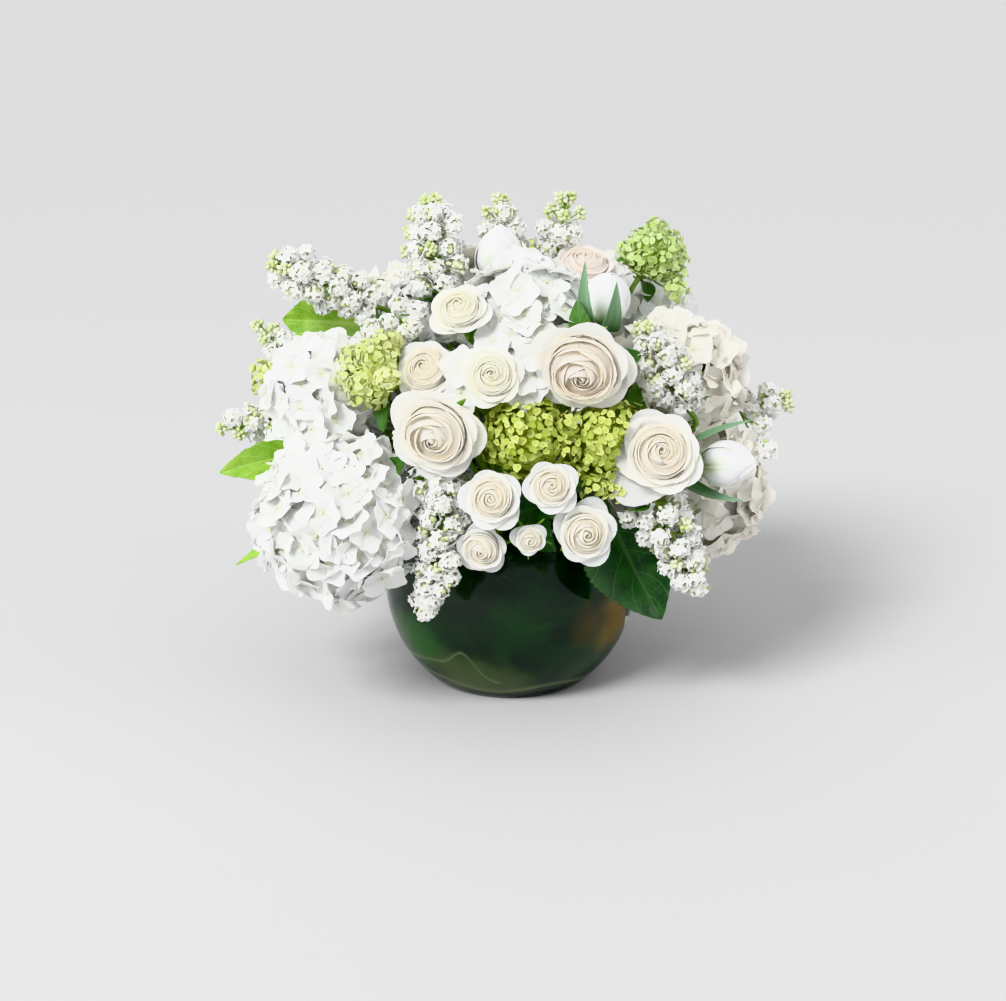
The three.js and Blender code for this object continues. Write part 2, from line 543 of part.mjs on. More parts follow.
// A flower whose petals stand in rings: a turned form whose rims rise and step outwards petal by
// petal, so that one edge of each petal lies outside its neighbour.
function ringed(bloom, { columns, profile }) {
  const random = seeded(bloom.name);
  const form = lathe(profile, columns);
  const place = form.getAttribute('position');
  const ringTurns = profile.map(() => Math.floor(random() * columns) / columns);
  const sizes = profile.map(() => 0.95 + 0.1 * random());
  for (let i = 0; i < place.count; i += 1) {
    const row = i % profile.length;
    const column = Math.floor(i / profile.length) % columns;
    const [r, z, petals, strength] = profile[row];
    const first = profile.findIndex((other) => other[2] === petals);
    const turn = (column / columns + ringTurns[first]) * petals;
    const share = turn - Math.floor(turn + 1e-6);
    const size = 1 + (sizes[Math.floor(turn + 1e-6) % petals] - 1) * strength;
    const out = (r + PETAL_STEP * (share - 0.4) * strength) * size * bloom.radius;
    const height = (z - PETAL_ARCH * (2 * share - 0.8) ** 2 * strength) * bloom.radius;
    const angle = Math.atan2(place.getY(i), place.getX(i));
    if (r > 0) place.setXYZ(i, Math.cos(angle) * out, Math.sin(angle) * out, height);
    else place.setXYZ(i, 0, 0, z * bloom.radius);
  }
  return solid(form.applyMatrix4(placement(bloom.root, bloom.axis)));
}

const BUILDERS = {
  rose: (bloom) => ringed(bloom, bloom.radius > 30 ? LARGE_ROSE : MEDIUM_ROSE),
  spray: (bloom) => ringed(bloom, SMALL_ROSE),
  tulip: (bloom) => ringed(bloom, TULIP),
  viburnum: headSolid,
  lilac: headSolid,
  hydrangea: headSolid,
};

// A leaf: a narrow stalk, then a blade with toothed edges that rises from its rib to both edges
function leaf({ on, share, by, tip, width, face, stalk, rows }) {
  const stem = stems.find(({ bloom }) => bloom && bloom.name === on);
  const joints = stem.line.getSpacedPoints(stem.steps);
  const step = Math.floor(share * stem.steps);
  const from = joints[step].clone().lerp(joints[step + 1], share * stem.steps - step);
  const rib = new THREE.QuadraticBezierCurve3(from, vector(by), vector(tip));
  return solid(blade(2, rows, LEAF_THICKNESS, (u, v) => {
    const along = rib.getTangent(v);
    const across = along.clone().cross(vector(face)).normalize();
    const up = across.clone().cross(along);
    const grown = Math.max(v - stalk, 0) / (1 - stalk);
    const tooth = Math.round(v * rows) % 2 ? 1 : 0.86;
    const full = width / 2 * Math.sin(Math.PI * grown ** LEAF_BELLY) ** 0.8 * tooth;
    const half = Math.max(full, v < 0.5 ? 1.5 : 0.8);
    const side = u * 2 - 1;
    const rise = Math.abs(side) * half * 0.2;
    return rib.getPoint(v).addScaledVector(across, half * side).addScaledVector(up, rise);
  }));
}

// Radii and heights of an arc of the globe
function arc(radius, fromZ, toZ) {
  const start = Math.asin((fromZ - BOWL_CENTRE_Z) / radius);
  const end = Math.asin((toZ - BOWL_CENTRE_Z) / radius);
  return Array.from({ length: BOWL_ROWS + 1 }, (_, i) => {
    const angle = start + (end - start) * i / BOWL_ROWS;
    return [radius * Math.cos(angle), BOWL_CENTRE_Z + radius * Math.sin(angle)];
  });
}

// The radius of a profile at a height, on the straight line between its points
function radiusAt(profile, z) {
  const above = Math.max(profile.findIndex((point) => point[1] >= z), 1);
  const [[r0, z0], [r1, z1]] = [profile[above - 1], profile[above]];
  return r0 + (r1 - r0) * (z - z0) / (z1 - z0);
}

// A leaf laid round the inside of the glass, narrower at both ends, with a waved lower edge. Its
// facets lie flat against those of the glass.
function lining({ from, columns, low, high }) {
  const profile = arc(LINING_RADIUS, BOWL_FLOOR, MOUTH_Z - 1);
  const rows = profile.map(([, z]) => z).filter((z) => z > low + 3 && z < high - 3);
  return solid(blade(columns, rows.length + 1, LINING_THICKNESS, (u, v) => {
    const column = Math.round(u * columns);
    const row = Math.round(v * (rows.length + 1));
    const angle = (from + column) / BOWL_COLUMNS * 2 * Math.PI;
    const close = Math.abs(2 * u - 1) ** 3;
    const bottom = low + close * (rows[0] - low) * 0.9 + 6 * Math.sin(column * 1.3);
    const top = high - close * (high - rows.at(-1)) * 0.9;
    const z = [bottom, ...rows, top][row];
    const flat = radiusAt(profile, z);
    return new THREE.Vector3(flat * Math.sin(angle), -flat * Math.cos(angle), z);
  }));
}

const centrepiece = new THREE.Group();

function addNode(name, body, finish) {
  const mesh = new THREE.Mesh(geometryOf(body), new THREE.MeshStandardMaterial(FINISHES[finish]));
  mesh.name = name;
  centrepiece.add(mesh);
}

blooms.forEach((bloom) => addNode(bloom.name, BUILDERS[bloom.kind](bloom), bloom.kind));

bundles.forEach((line, sector) => {
  const own = stems.filter((stem) => stem.sector === sector);
  const leaves = LEAVES.filter(({ on }) => own.some((stem) => stem.bloom && stem.bloom.name === on));
  addNode(`stems_${sector + 1}`, wasm.Manifold.union([
    tube(line, BUNDLE_RADIUS, BUNDLE_SIDES, 1),
    ...own.map((stem) => tube(stem.line, stem.radius, STEM_SIDES, stem.steps)),
    ...leaves.map(leaf),
  ]), 'stems');
});

// The bowl: a cut globe with an even wall, a thick flat floor and a rounded lip
const outside = arc(BOWL_RADIUS, 0, MOUTH_Z - 1);
const inside = arc(INNER_RADIUS, BOWL_FLOOR, MOUTH_Z - 1).reverse();
const lip = [(outside.at(-1)[0] + inside[0][0]) / 2, MOUTH_Z + 0.6];
addNode('bowl', solid(lathe([[0, 0], ...outside, lip, ...inside, [0, BOWL_FLOOR]], BOWL_COLUMNS)), 'glass');

LININGS.forEach((leafRound) => addNode(leafRound.name, lining(leafRound), 'lining'));

// The water, filled to its level, with a plain hole for each bundle of stems
const globe = arc(WATER_RADIUS, BOWL_FLOOR + GAP, MOUTH_Z - 1);
const surface = [radiusAt(globe, WATER_LEVEL), WATER_LEVEL];
const wet = globe.filter(([, z]) => z < WATER_LEVEL);
const fill = solid(lathe([[0, BOWL_FLOOR + GAP], ...wet, surface, [0, WATER_LEVEL]], BOWL_COLUMNS));
const holes = bundles.map((line) => {
  const below = new THREE.LineCurve3(line.getPoint(-0.1), line.v2);
  return tube(below, BUNDLE_RADIUS + GAP, BUNDLE_SIDES, 1);
});
addNode('water', wasm.Manifold.difference([fill, ...holes]), 'water');

export default centrepiece;
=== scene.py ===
# %% [markdown]
# This lesson dresses a round table centrepiece: white roses, hydrangeas, tulips, lilac and green
# snowball viburnum in a globe bowl of clear glass. The solids of the frame already have every
# bloom in its place. Each step here grows one kind of flower finely, where its solid stands.

# %% Load the frame
import math
import random

import bmesh
import bpy
from mathutils import Matrix, Vector


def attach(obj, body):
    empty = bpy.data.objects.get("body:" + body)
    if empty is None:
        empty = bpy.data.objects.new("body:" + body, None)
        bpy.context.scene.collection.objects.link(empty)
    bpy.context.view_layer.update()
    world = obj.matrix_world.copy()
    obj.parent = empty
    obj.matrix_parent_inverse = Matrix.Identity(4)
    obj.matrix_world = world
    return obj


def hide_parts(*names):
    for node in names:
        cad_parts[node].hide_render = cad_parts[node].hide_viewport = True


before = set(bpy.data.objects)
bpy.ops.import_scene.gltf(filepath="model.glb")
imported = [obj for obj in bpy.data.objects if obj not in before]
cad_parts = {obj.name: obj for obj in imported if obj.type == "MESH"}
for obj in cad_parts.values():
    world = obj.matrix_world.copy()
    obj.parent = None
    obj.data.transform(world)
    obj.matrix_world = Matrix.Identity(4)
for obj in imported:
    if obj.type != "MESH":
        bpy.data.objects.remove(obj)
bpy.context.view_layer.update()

# %% [markdown]
# The camera comes first, because everything is judged through it. It looks slightly down on the
# table, as someone standing near it would, through a long lens that keeps the dome round.

# %% Camera
MM = 0.001
CAMERA_DISTANCE = 1.8
CAMERA_ELEVATION = math.radians(18)
CAMERA_AIM = Vector((-0.006, 0, 0.145))
CAMERA_LENS = 80

camera = bpy.data.objects.new("camera", bpy.data.cameras.new("camera"))
bpy.context.scene.collection.objects.link(camera)
bpy.context.scene.camera = camera
camera.data.lens = CAMERA_LENS
camera.location = CAMERA_AIM + CAMERA_DISTANCE * Vector(
    (0, -math.cos(CAMERA_ELEVATION), math.sin(CAMERA_ELEVATION)))
camera.rotation_euler = (math.pi / 2 - CAMERA_ELEVATION, 0, 0)
print("camera at", [round(c, 3) for c in camera.location])

# %% [markdown]
# A florist places blooms one by one, so they are a list and not a rule. Each has its middle in
# millimetres, the way it faces as azimuth and elevation in degrees, its radius, and a tone that
# picks its colours. Azimuth 0 faces the front and 90 the right. A lilac spike runs from its root
# to its tip instead. These are the places of the solids in the frame.

# %% The blooms
ROSES = {
    "rose_front_right": ((53, -118, 288), (-8, -18), 37, "peach"),
    "rose_front_left": ((-54, -130, 241), (-14, -9), 35, "ivory"),
    "rose_right": ((111, -120, 220), (0, 26), 31, "ivory"),
    "rose_top_left": ((-38, -88, 320), (-15, 48), 23, "lemon"),
    "rose_left_small": ((-62, -88, 275), (-24, 36), 25, "ivory"),
    "rose_middle_small": ((-14, -118, 279), (-4, 26), 23, "lemon"),
    "rose_crown": ((58, 18, 330), (12, 66), 27, "blush"),
    "rose_back": ((-2, 164, 248), (182, 14), 34, "peach"),
    "rose_back_high": ((-48, 72, 322), (-150, 56), 30, "ivory"),
}
SPRAY_ROSES = {
    "spray_rose_1": ((-14, -142, 193), (-6, 14), 23),
    "spray_rose_2": ((29, -142, 202), (6, 18), 20),
    "spray_rose_3": ((54, -137, 164), (12, 10), 24),
    "spray_rose_4": ((-21, -128, 150), (-12, -8), 20),
    "spray_rose_5": ((14, -138, 160), (4, -2), 13.5),
}
TULIPS = {
    "tulip_top": ((-9, 8, 345), (0, 84), 20),
    "tulip_front": ((72, -76, 330), (14, 60), 19),
    "tulip_right": ((166, -88, 203), (62, 10), 19),
    "tulip_back": ((44, 88, 325), (155, 60), 19),
}
VIBURNUMS = {
    "viburnum_middle": ((12, -110, 232), (2, 22), 36, "lime"),
    "viburnum_middle_right": ((70, -105, 226), (26, 14), 36, "lime"),
    "viburnum_left": ((-101, -80, 272), (-50, 36), 34, "pale"),
    "viburnum_far_left": ((-188, -14, 250), (-86, 20), 20, "pale"),
    "viburnum_top_right": ((113, 45, 336), (112, 56), 30, "budding"),
    "viburnum_back": ((6, 118, 300), (176, 46), 36, "lime"),
}
HYDRANGEAS = {
    "hydrangea_left": ((-131, -100, 163), (-53, -4), 65, "white"),
    "hydrangea_left_high": ((-140, -46, 245), (-72, 26), 49, "white"),
    "hydrangea_top": ((10, -55, 306), (6, 66), 53, "white"),
    "hydrangea_right_high": ((130, -8, 248), (88, 34), 52, "shell"),
    "hydrangea_right": ((146, -12, 158), (86, -4), 57, "shell"),
    "hydrangea_left_back": ((-144, 54, 192), (-110, 4), 64, "white"),
    "hydrangea_back_left": ((-88, 116, 246), (-148, 24), 63, "cream"),
    "hydrangea_back_right": ((92, 104, 256), (140, 28), 64, "white"),
    "hydrangea_back_low": ((-10, 148, 162), (180, -4), 62, "white"),
    "hydrangea_right_back": ((120, 92, 162), (126, -4), 58, "cream"),
    "hydrangea_crown": ((-60, 26, 284), (-110, 72), 46, "white"),
}
LILACS = {
    "lilac_left": ((-102, -18, 308), (-184, -30, 348), 21),
    "lilac_top_left": ((-56, -6, 312), (-64, 12, 386), 26),
    "lilac_top": ((-4, 34, 322), (-9, 38, 385), 18),
    "lilac_top_right": ((34, 42, 318), (44, 36, 386), 20),
    "lilac_front": ((-45, -116, 204), (-64, -124, 92), 20),
    "lilac_right": ((136, -74, 240), (97, -90, 312), 21),
    "lilac_right_low": ((107, -112, 183), (142, -106, 111), 23),
    "lilac_far_left": ((-178, -40, 228), (-226, -46, 216), 15),
    "lilac_left_high": ((-166, -18, 262), (-198, -14, 296), 13),
    "lilac_far_right": ((182, 26, 214), (226, 32, 220), 16),
    "lilac_back": ((58, 150, 232), (84, 184, 168), 22),
}

# %% [markdown]
# Every bloom takes up an ellipsoid of room, flat for an open rose and long for a lilac spike. Soft
# heads press on each other: a hydrangea gives way to a rose, and two hydrangeas meet in a flat
# plane. Working out this room first lets each floret stop before it reaches a neighbour.

# %% The room that each bloom takes
AXIAL_REACH = {"rose": 0.62, "spray": 0.62, "tulip": 1.22, "viburnum": 1, "hydrangea": 1}
ROOT_DEPTH = {"rose": 0.54, "spray": 0.54, "tulip": 1.2, "viburnum": 0.5, "hydrangea": 0.5}
RANK = {"rose": 0, "spray": 0, "tulip": 0, "lilac": 1, "viburnum": 2, "hydrangea": 2}
BOWL_CENTRE = Vector((0, 0, 79)) * MM
BOWL_ROOM = 103 * MM
UP = Vector((0, 0, 1))


def facing(azimuth, elevation):
    a, e = math.radians(azimuth), math.radians(elevation)
    return Vector((math.cos(e) * math.sin(a), -math.cos(e) * math.cos(a), math.sin(e)))


class Bloom:
    """A bloom's place: its middle, the axis that it looks along, and its reach along and across it."""

    def __init__(self, name, kind, first, second, radius, tone=None):
        self.name, self.kind, self.radius, self.tone = name, kind, radius * MM, tone
        if kind == "lilac":
            root, tip = Vector(first) * MM, Vector(second) * MM
            self.centre, self.axis = (root + tip) / 2, (tip - root).normalized()
            self.long, self.root = (tip - root).length / 2, root
        else:
            self.centre, self.axis = Vector(first) * MM, facing(*second)
            self.long = self.radius * AXIAL_REACH[kind]
            self.root = self.centre - self.axis * self.radius * ROOT_DEPTH[kind]
        self.wide = self.radius

    def squashed(self, offset):
        """An offset in a space where this bloom is a ball of radius 1."""
        along = offset.dot(self.axis)
        return (offset - self.axis * along) / self.wide + self.axis * (along / self.long)


blooms = [
    Bloom(name, kind, *row)
    for kind, table in [("rose", ROSES), ("spray", SPRAY_ROSES), ("tulip", TULIPS),
                        ("viburnum", VIBURNUMS), ("hydrangea", HYDRANGEAS), ("lilac", LILACS)]
    for name, row in table.items()
]


def entry(bloom, start, direction, clearance):
    """The distance from a start along a direction to a bloom that stands in the way."""
    grown = 1 + clearance / min(bloom.long, bloom.wide)
    point = bloom.squashed(start - bloom.centre) / grown
    ray = bloom.squashed(direction) / grown
    a, b, c = ray.length_squared, point.dot(ray), point.length_squared - 1
    if c <= 0:
        return 0
    root = b * b - a * c
    return (-b - math.sqrt(root)) / a if b < 0 and root > 0 else math.inf


def free_reach(bloom, start, direction, reach, clearance):
    """How far a floret may stand from a start before it touches a neighbour or the bowl."""
    for other in blooms:
        if other is bloom:
            continue
        between = other.centre - bloom.centre
        distance = between.length
        if distance > max(bloom.long, bloom.wide) + max(other.long, other.wide) + 2 * clearance:
            continue
        if RANK[other.kind] < RANK[bloom.kind]:
            reach = min(reach, entry(other, start, direction, clearance))
        elif RANK[other.kind] == RANK[bloom.kind]:
            rate = direction.dot(between) / distance
            share = (distance ** 2 + bloom.wide ** 2 - other.wide ** 2) / (2 * distance)
            room = share - clearance / 2 - (start - bloom.centre).dot(between) / distance
            if rate > 0:
                reach = min(reach, room / rate)
    offset = start - BOWL_CENTRE
    b, c = offset.dot(direction), offset.length_squared - BOWL_ROOM ** 2
    if b < 0 and b * b > c:
        reach = min(reach, -b - math.sqrt(b * b - c))
    return max(reach, 0)


print("blooms:", len(blooms))

# %% [markdown]
# Petals, leaves and linings are all thin sheets. Each begins as a flat grid, whose UV map keeps
# the place across it and along it, and every point of the grid is then bent to its place. A float
# attribute called tint rides on the points, so that one finish can vary from floret to floret.
# The Subdivision Surface and Solidify modifiers turn the cage into a smooth sheet with two faces
# and a rim, which is closed, as a real petal is. They are applied, so that the rim's edges can be
# marked sharp. Otherwise smooth shading runs round the rim and darkens every petal near its edge.

# %% Helpers for sheets
GOLDEN_ANGLE = math.pi * (3 - math.sqrt(5))
FULL_TURN = 6.28  # nearly, in radians
SHARP_ANGLE = math.radians(60)


def about_axis(out, turn, rise):
    """A point at a distance out from the Z axis, at a turn about it, and at a height."""
    return Vector((out * math.cos(turn), out * math.sin(turn), rise))


def new_form():
    form = bmesh.new()
    form.loops.layers.uv.new("petal")
    form.verts.layers.float.new("tint")
    return form


def add_sheet(form, across, along, bend, tint=0.0, finish=0):
    """Adds a grid whose points are bent to bend(s, v), with s from -1 to 1 across and v from 0 to 1 along."""
    layer = form.verts.layers.float["tint"]
    grid = bmesh.ops.create_grid(form, x_segments=across, y_segments=along, size=0.5, calc_uvs=True)
    for vert in grid["verts"]:
        vert.co = bend(2 * vert.co.x, vert.co.y + 0.5)
        vert[layer] = tint
    for face in {face for vert in grid["verts"] for face in vert.link_faces}:
        face.smooth = True
        face.material_index = finish


def mesh_of(form, name, finishes):
    mesh = bpy.data.meshes.new(name)
    form.to_mesh(mesh)
    form.free()
    for finish in finishes:
        mesh.materials.append(finish)
    return mesh


def with_thickness(thing, levels, thickness):
    """Smooths the sheets of an object and gives them two faces and a crisp rim."""
    if levels:
        smooth = thing.modifiers.new("smooth", "SUBSURF")
        smooth.levels = smooth.render_levels = levels
    wall = thing.modifiers.new("wall", "SOLIDIFY")
    wall.thickness = thickness
    wall.offset = 0
    seen = thing.evaluated_get(bpy.context.evaluated_depsgraph_get())
    mesh = bpy.data.meshes.new_from_object(seen)
    mesh.set_sharp_from_angle(angle=SHARP_ANGLE)
    thing.modifiers.clear()
    thing.data = mesh
    return thing


def template(form, levels, thickness):
    """A small form made once, to be stamped many times."""
    thing = bpy.data.objects.new("template", mesh_of(form, "template", []))
    bpy.context.scene.collection.objects.link(thing)
    mesh = with_thickness(thing, levels, thickness).data
    bpy.data.objects.remove(thing)
    return mesh


def stamp(form, mesh, place, tint=0.0, finish=None):
    """Adds a copy of a small mesh at a place, and gives its points a tint."""
    before, faces_before = len(form.verts), len(form.faces)
    form.from_mesh(mesh, face_normals=False, vertex_normals=False)
    form.verts.ensure_lookup_table()
    fresh = form.verts[before:]
    bmesh.ops.transform(form, matrix=place, verts=fresh)
    layer = form.verts.layers.float["tint"]
    for vert in fresh:
        vert[layer] = tint
    if finish is not None:
        form.faces.ensure_lookup_table()
        for face in form.faces[faces_before:]:
            face.material_index = finish


def looking(at, axis, spin=0.0, size=1.0):
    """Moves a form made round +Z so that it stands at a point and looks along an axis."""
    turn = UP.rotation_difference(axis).to_matrix().to_4x4()
    return Matrix.Translation(at) @ turn @ Matrix.Rotation(spin, 4, "Z") @ Matrix.Scale(size, 4)


def show(name, form, finishes, node, slot):
    """Puts a finished form into the scene, riding on the part, in place of the node that it dresses."""
    thing = bpy.data.objects.new(name, mesh_of(form, name, finishes))
    bpy.context.scene.collection.objects.link(thing)
    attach(thing, "root")
    if node:
        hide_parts(node)
    return thing


def dress(bloom, part, form, finishes, slot):
    """Shows the florets or petals of a bloom in place of its solid."""
    return show(f"{bloom.name}_{part}", form, finishes, bloom.name, slot)


def bead(radius, squash=1.0):
    """A small round bud of twenty faces."""
    form = new_form()
    bmesh.ops.create_icosphere(form, subdivisions=1, radius=radius)
    bmesh.ops.scale(form, vec=(1, 1, squash), verts=form.verts)
    for face in form.faces:
        face.smooth = True
    return mesh_of(form, "bead", [])


print("golden angle:", round(math.degrees(GOLDEN_ANGLE), 1), "degrees")

# %% [markdown]
# Petals look alive because their colour is never even: it deepens towards the heart, varies from
# floret to floret, and fine veins run along it. All three come from the sheet's own UV map and
# tint, and light that enters a petal scatters inside it, so the finish has some subsurface.

# %% Helpers for finishes
VEIN_BUMP = 0.25


class Finish:
    """A material under construction: its node tree, and short ways to add nodes to it."""

    def __init__(self, name):
        self.material = bpy.data.materials.new(name)
        self.material.use_nodes = True
        self.tree = self.material.node_tree
        self.shader = self.tree.nodes["Principled BSDF"]

    def node(self, kind, settings=None, **links):
        made = self.tree.nodes.new(kind)
        for key, value in (settings or {}).items():
            setattr(made, key, value)
        for key, value in links.items():
            socket = made.inputs[int(key[1:])] if key[0] == "i" and key[1:].isdigit() else made.inputs[key]
            self.feed(socket, value)
        return made

    def feed(self, socket, value):
        if isinstance(value, bpy.types.NodeSocket):
            self.tree.links.new(value, socket)
        elif isinstance(value, tuple) and len(value) == 3 and socket.type == "RGBA":
            socket.default_value = (*value, 1)
        else:
            socket.default_value = value

    def math(self, operation, first, second=0.0):
        return self.node("ShaderNodeMath", {"operation": operation}, i0=first, i1=second).outputs[0]

    def mixed(self, share, first, second):
        made = self.node("ShaderNodeMix", {"data_type": "RGBA"})
        self.feed(made.inputs[0], share)
        self.feed(made.inputs[6], first)
        self.feed(made.inputs[7], second)
        return made.outputs[2]

    def ranged(self, value, low, high, to_low=0.0, to_high=1.0):
        made = self.node("ShaderNodeMapRange", {"interpolation_type": "SMOOTHSTEP"},
                         i0=value, i1=low, i2=high, i3=to_low, i4=to_high)
        return made.outputs[0]

    def petal_place(self):
        """The place across and along a sheet, from its UV map."""
        place = self.node("ShaderNodeUVMap", {"uv_map": "petal"})
        split = self.node("ShaderNodeSeparateXYZ", i0=place.outputs[0])
        return split.outputs[0], split.outputs[1]

    def tint(self):
        return self.node("ShaderNodeAttribute", {"attribute_name": "tint"}).outputs["Fac"]

    def veins(self, across, along, fan, length):
        """Fine noise drawn out along a petal, so that it reads as veins."""
        wide = self.math("MULTIPLY", across, fan)
        far = self.math("MULTIPLY", along, length)
        apart = self.math("MULTIPLY", self.tint(), 40.0)
        place = self.node("ShaderNodeCombineXYZ", i0=wide, i1=far, i2=apart)
        return self.node("ShaderNodeTexNoise", i0=place.outputs[0], Scale=1.0, Detail=2.0).outputs[0]

    def surface(self, colour, roughness, height=None, strength=VEIN_BUMP, distance=0.0004, **constants):
        self.feed(self.shader.inputs["Base Color"], colour)
        self.feed(self.shader.inputs["Roughness"], roughness)
        if height is not None:
            bump = self.node("ShaderNodeBump", Strength=strength, Distance=distance, Height=height)
            self.feed(self.shader.inputs["Normal"], bump.outputs[0])
        for key, value in constants.items():
            self.feed(self.shader.inputs[key.replace("_", " ")], value)
        return self.material


def petal_finish(name, rim, heart, shaded, heart_reach=0.3, glow=0.4, fan=22.0):
    """A petal: its colour at the rim, at the heart, and on the shaded florets of a head."""
    finish = Finish(name)
    across, along = finish.petal_place()
    veins = finish.veins(across, along, fan, 1.6)
    tone = finish.mixed(finish.tint(), rim, shaded)
    tone = finish.mixed(finish.ranged(along, heart_reach, 0.0), tone, heart)
    tone = finish.mixed(finish.math("MULTIPLY", finish.ranged(veins, 0.45, 0.7), 0.12), tone, shaded)
    return finish.surface(tone, 0.62, veins, Subsurface_Weight=glow, Subsurface_Scale=0.007,
                          Subsurface_Radius=(1.0, 0.9, 0.75), Sheen_Weight=0.08, Specular_IOR_Level=0.25)


print("helpers ready")

# %% [markdown]
# A hydrangea head is a ball of florets, each of four broad papery sepals round a tiny bead. The
# sepals are about 18 mm long, cupped, waved and twisted, and overlap by pairs. A few different
# florets are made once and stamped over the head. The hidden layer below uses a plainer floret,
# with fewer faces, because only its colour shows between the others.

# %% Hydrangea florets
SEPAL_LENGTH = 18.5 * MM
SEPAL_HALF_WIDTH = 11 * MM
SEPAL_THICKNESS = 0.3 * MM
SEPAL_STEP = 0.9 * MM
SEPAL_CUP, SEPAL_TWIST, SEPAL_WAVE = (0.02, 0.34), (-0.1, 0.1), (0.04, 0.11)


def hydrangea_floret(seed, across, along):
    draw = random.Random(f"hydrangea floret {seed}")
    form = new_form()
    for k in range(4):
        turn = Matrix.Rotation(k * math.pi / 2 + draw.uniform(-0.16, 0.16), 3, "Z")
        length = SEPAL_LENGTH * draw.uniform(0.85, 1.08)
        cup, twist = draw.uniform(*SEPAL_CUP), draw.uniform(*SEPAL_TWIST)
        wave, phase = draw.uniform(*SEPAL_WAVE), draw.uniform(0, FULL_TURN)
        lift = (k % 2) * SEPAL_STEP

        def bend(s, v):
            half = SEPAL_HALF_WIDTH * math.sin(math.pi * (0.08 + 0.76 * v ** 1.1)) ** 0.8
            reach = length * v * (1 - 0.27 * s * s * v * v) + 0.6 * MM
            rise = cup * v ** 1.8 - 0.13 * s * s * (1 - 0.7 * v) + twist * s * v
            rise += wave * math.sin(2.8 * s + phase) * v * v
            return turn @ Vector((half * s, reach, length * rise + lift))

        add_sheet(form, across, along, bend)
    return template(form, 0, SEPAL_THICKNESS)


full_florets = [hydrangea_floret(seed, 4, 3) for seed in range(6)]
plain_florets = [hydrangea_floret(seed, 2, 2) for seed in range(6, 9)]
floret_heart = bead(1.1 * MM)
print("faces in a floret:", len(full_florets[0].polygons), "or", len(plain_florets[0].polygons))

# %% [markdown]
# Points a golden angle apart spread evenly over a ball, with no rows to be seen. Each floret leans
# a little off the straight line out and stands a little deeper or prouder than the last, so the
# head catches light unevenly, as a real one does.

# %% Hydrangea heads
HEAD_REACH = math.radians(144)
FLORET_SPACING, HIDDEN_SPACING = 20.6 * MM, 27 * MM
HIDDEN_DEPTH, HIDDEN_SHADE = 9 * MM, 0.6
FLORET_SINK = 3, 9
FLORET_ROOM, CROWDED_ROOM, CROWDED_SIZE = 2 * MM, 12 * MM, 0.62
TULIP_ROOM = 10 * MM
TULIP_VIEW = Vector((0, -24, 8)) * MM
HYDRANGEA_TONES = {
    "white": petal_finish("hydrangea_white", (0.93, 0.935, 0.92), (0.80, 0.83, 0.62), (0.86, 0.87, 0.80)),
    "cream": petal_finish("hydrangea_cream", (0.92, 0.91, 0.84), (0.78, 0.80, 0.54), (0.84, 0.83, 0.68)),
    "shell": petal_finish("hydrangea_shell", (0.94, 0.915, 0.85), (0.78, 0.79, 0.56), (0.85, 0.80, 0.66)),
}


def on_ball(axis, total, depth, start=0.0):
    """Directions a golden angle apart round an axis, down from the top of a ball of radius 1 by a depth."""
    turn = UP.rotation_difference(axis).to_matrix()
    for i in range(total):
        up = 1 - depth * (i + 0.5) / total
        yield turn @ about_axis(math.sqrt(1 - up * up), i * GOLDEN_ANGLE + start, up)


def spread(axis, radius, spacing, start):
    """Directions spread evenly round an axis, as far as a head reaches round its stalk."""
    depth = 1 - math.cos(HEAD_REACH)
    return on_ball(axis, round(2 * math.pi * depth * radius ** 2 / spacing ** 2), depth, start)


def nearest_gap(bloom, point):
    """The room between a point and the nearest firmer bloom, negative inside it."""
    return min((other.squashed(point - other.centre).length - 1) * min(other.long, other.wide)
               for other in blooms if RANK[other.kind] < RANK[bloom.kind])


def hides_tulip(point):
    """Whether a floret stands so near a tulip, or so near before it, that it would bury it."""
    tulips = [other for other in blooms if other.kind == "tulip"]
    return any(other.squashed(point - other.centre - ahead).length < 1 + TULIP_ROOM / other.wide
               for other in tulips for ahead in (Vector(), TULIP_VIEW))


def kept(value):
    return min(max(value, 0), 1)


def leaning(draw, most):
    return Vector([draw.uniform(-most, most) for _ in range(3)])


def askew(draw, place, way, lean, sizes):
    """Where a floret stands that looks a little off its way, at any turn and any size of a range."""
    return looking(place, (way + lean).normalized(), draw.uniform(0, FULL_TURN), draw.uniform(*sizes))


def hydrangea_head(bloom):
    draw = random.Random(bloom.name)
    form = new_form()
    count = 0
    layers = [(0, FLORET_SPACING, 0.0, full_florets),
              (HIDDEN_DEPTH, HIDDEN_SPACING, HIDDEN_SHADE, plain_florets)]
    for depth, spacing, shade, florets in layers:
        radius = bloom.radius - depth
        for out in spread(bloom.axis, radius, spacing, 1 + depth / MM):
            reach = radius - draw.uniform(*FLORET_SINK) * MM
            reach = min(reach, free_reach(bloom, bloom.centre, out, reach, 5 * MM) - 1 * MM)
            place = bloom.centre + out * reach
            room = nearest_gap(bloom, place)
            size = draw.uniform(0.86, 1.1) * (CROWDED_SIZE if room < CROWDED_ROOM else 1)
            lean = leaning(draw, 0.42)
            spot = looking(place, (out + lean).normalized(), draw.uniform(0, FULL_TURN), size)
            # Painted shade: the hidden layer starts at HIDDEN_SHADE, towards the shaded colour, and every
            # floret also varies at random.
            tint = kept(shade + draw.gauss(0.15, 0.18))
            floret = draw.choice(florets)
            if reach < 0.35 * radius or room < FLORET_ROOM or hides_tulip(place):
                continue
            stamp(form, floret, spot, tint)
            if not depth:
                stamp(form, floret_heart, spot @ Matrix.Translation((0, 0, 1.2 * MM)), tint)
            count += 1
    dress(bloom, "florets", form, [HYDRANGEA_TONES[bloom.tone]], "hydrangea_florets")
    return count


made = {bloom.name: hydrangea_head(bloom) for bloom in blooms if bloom.kind == "hydrangea"}
print("florets on each hydrangea:", made)
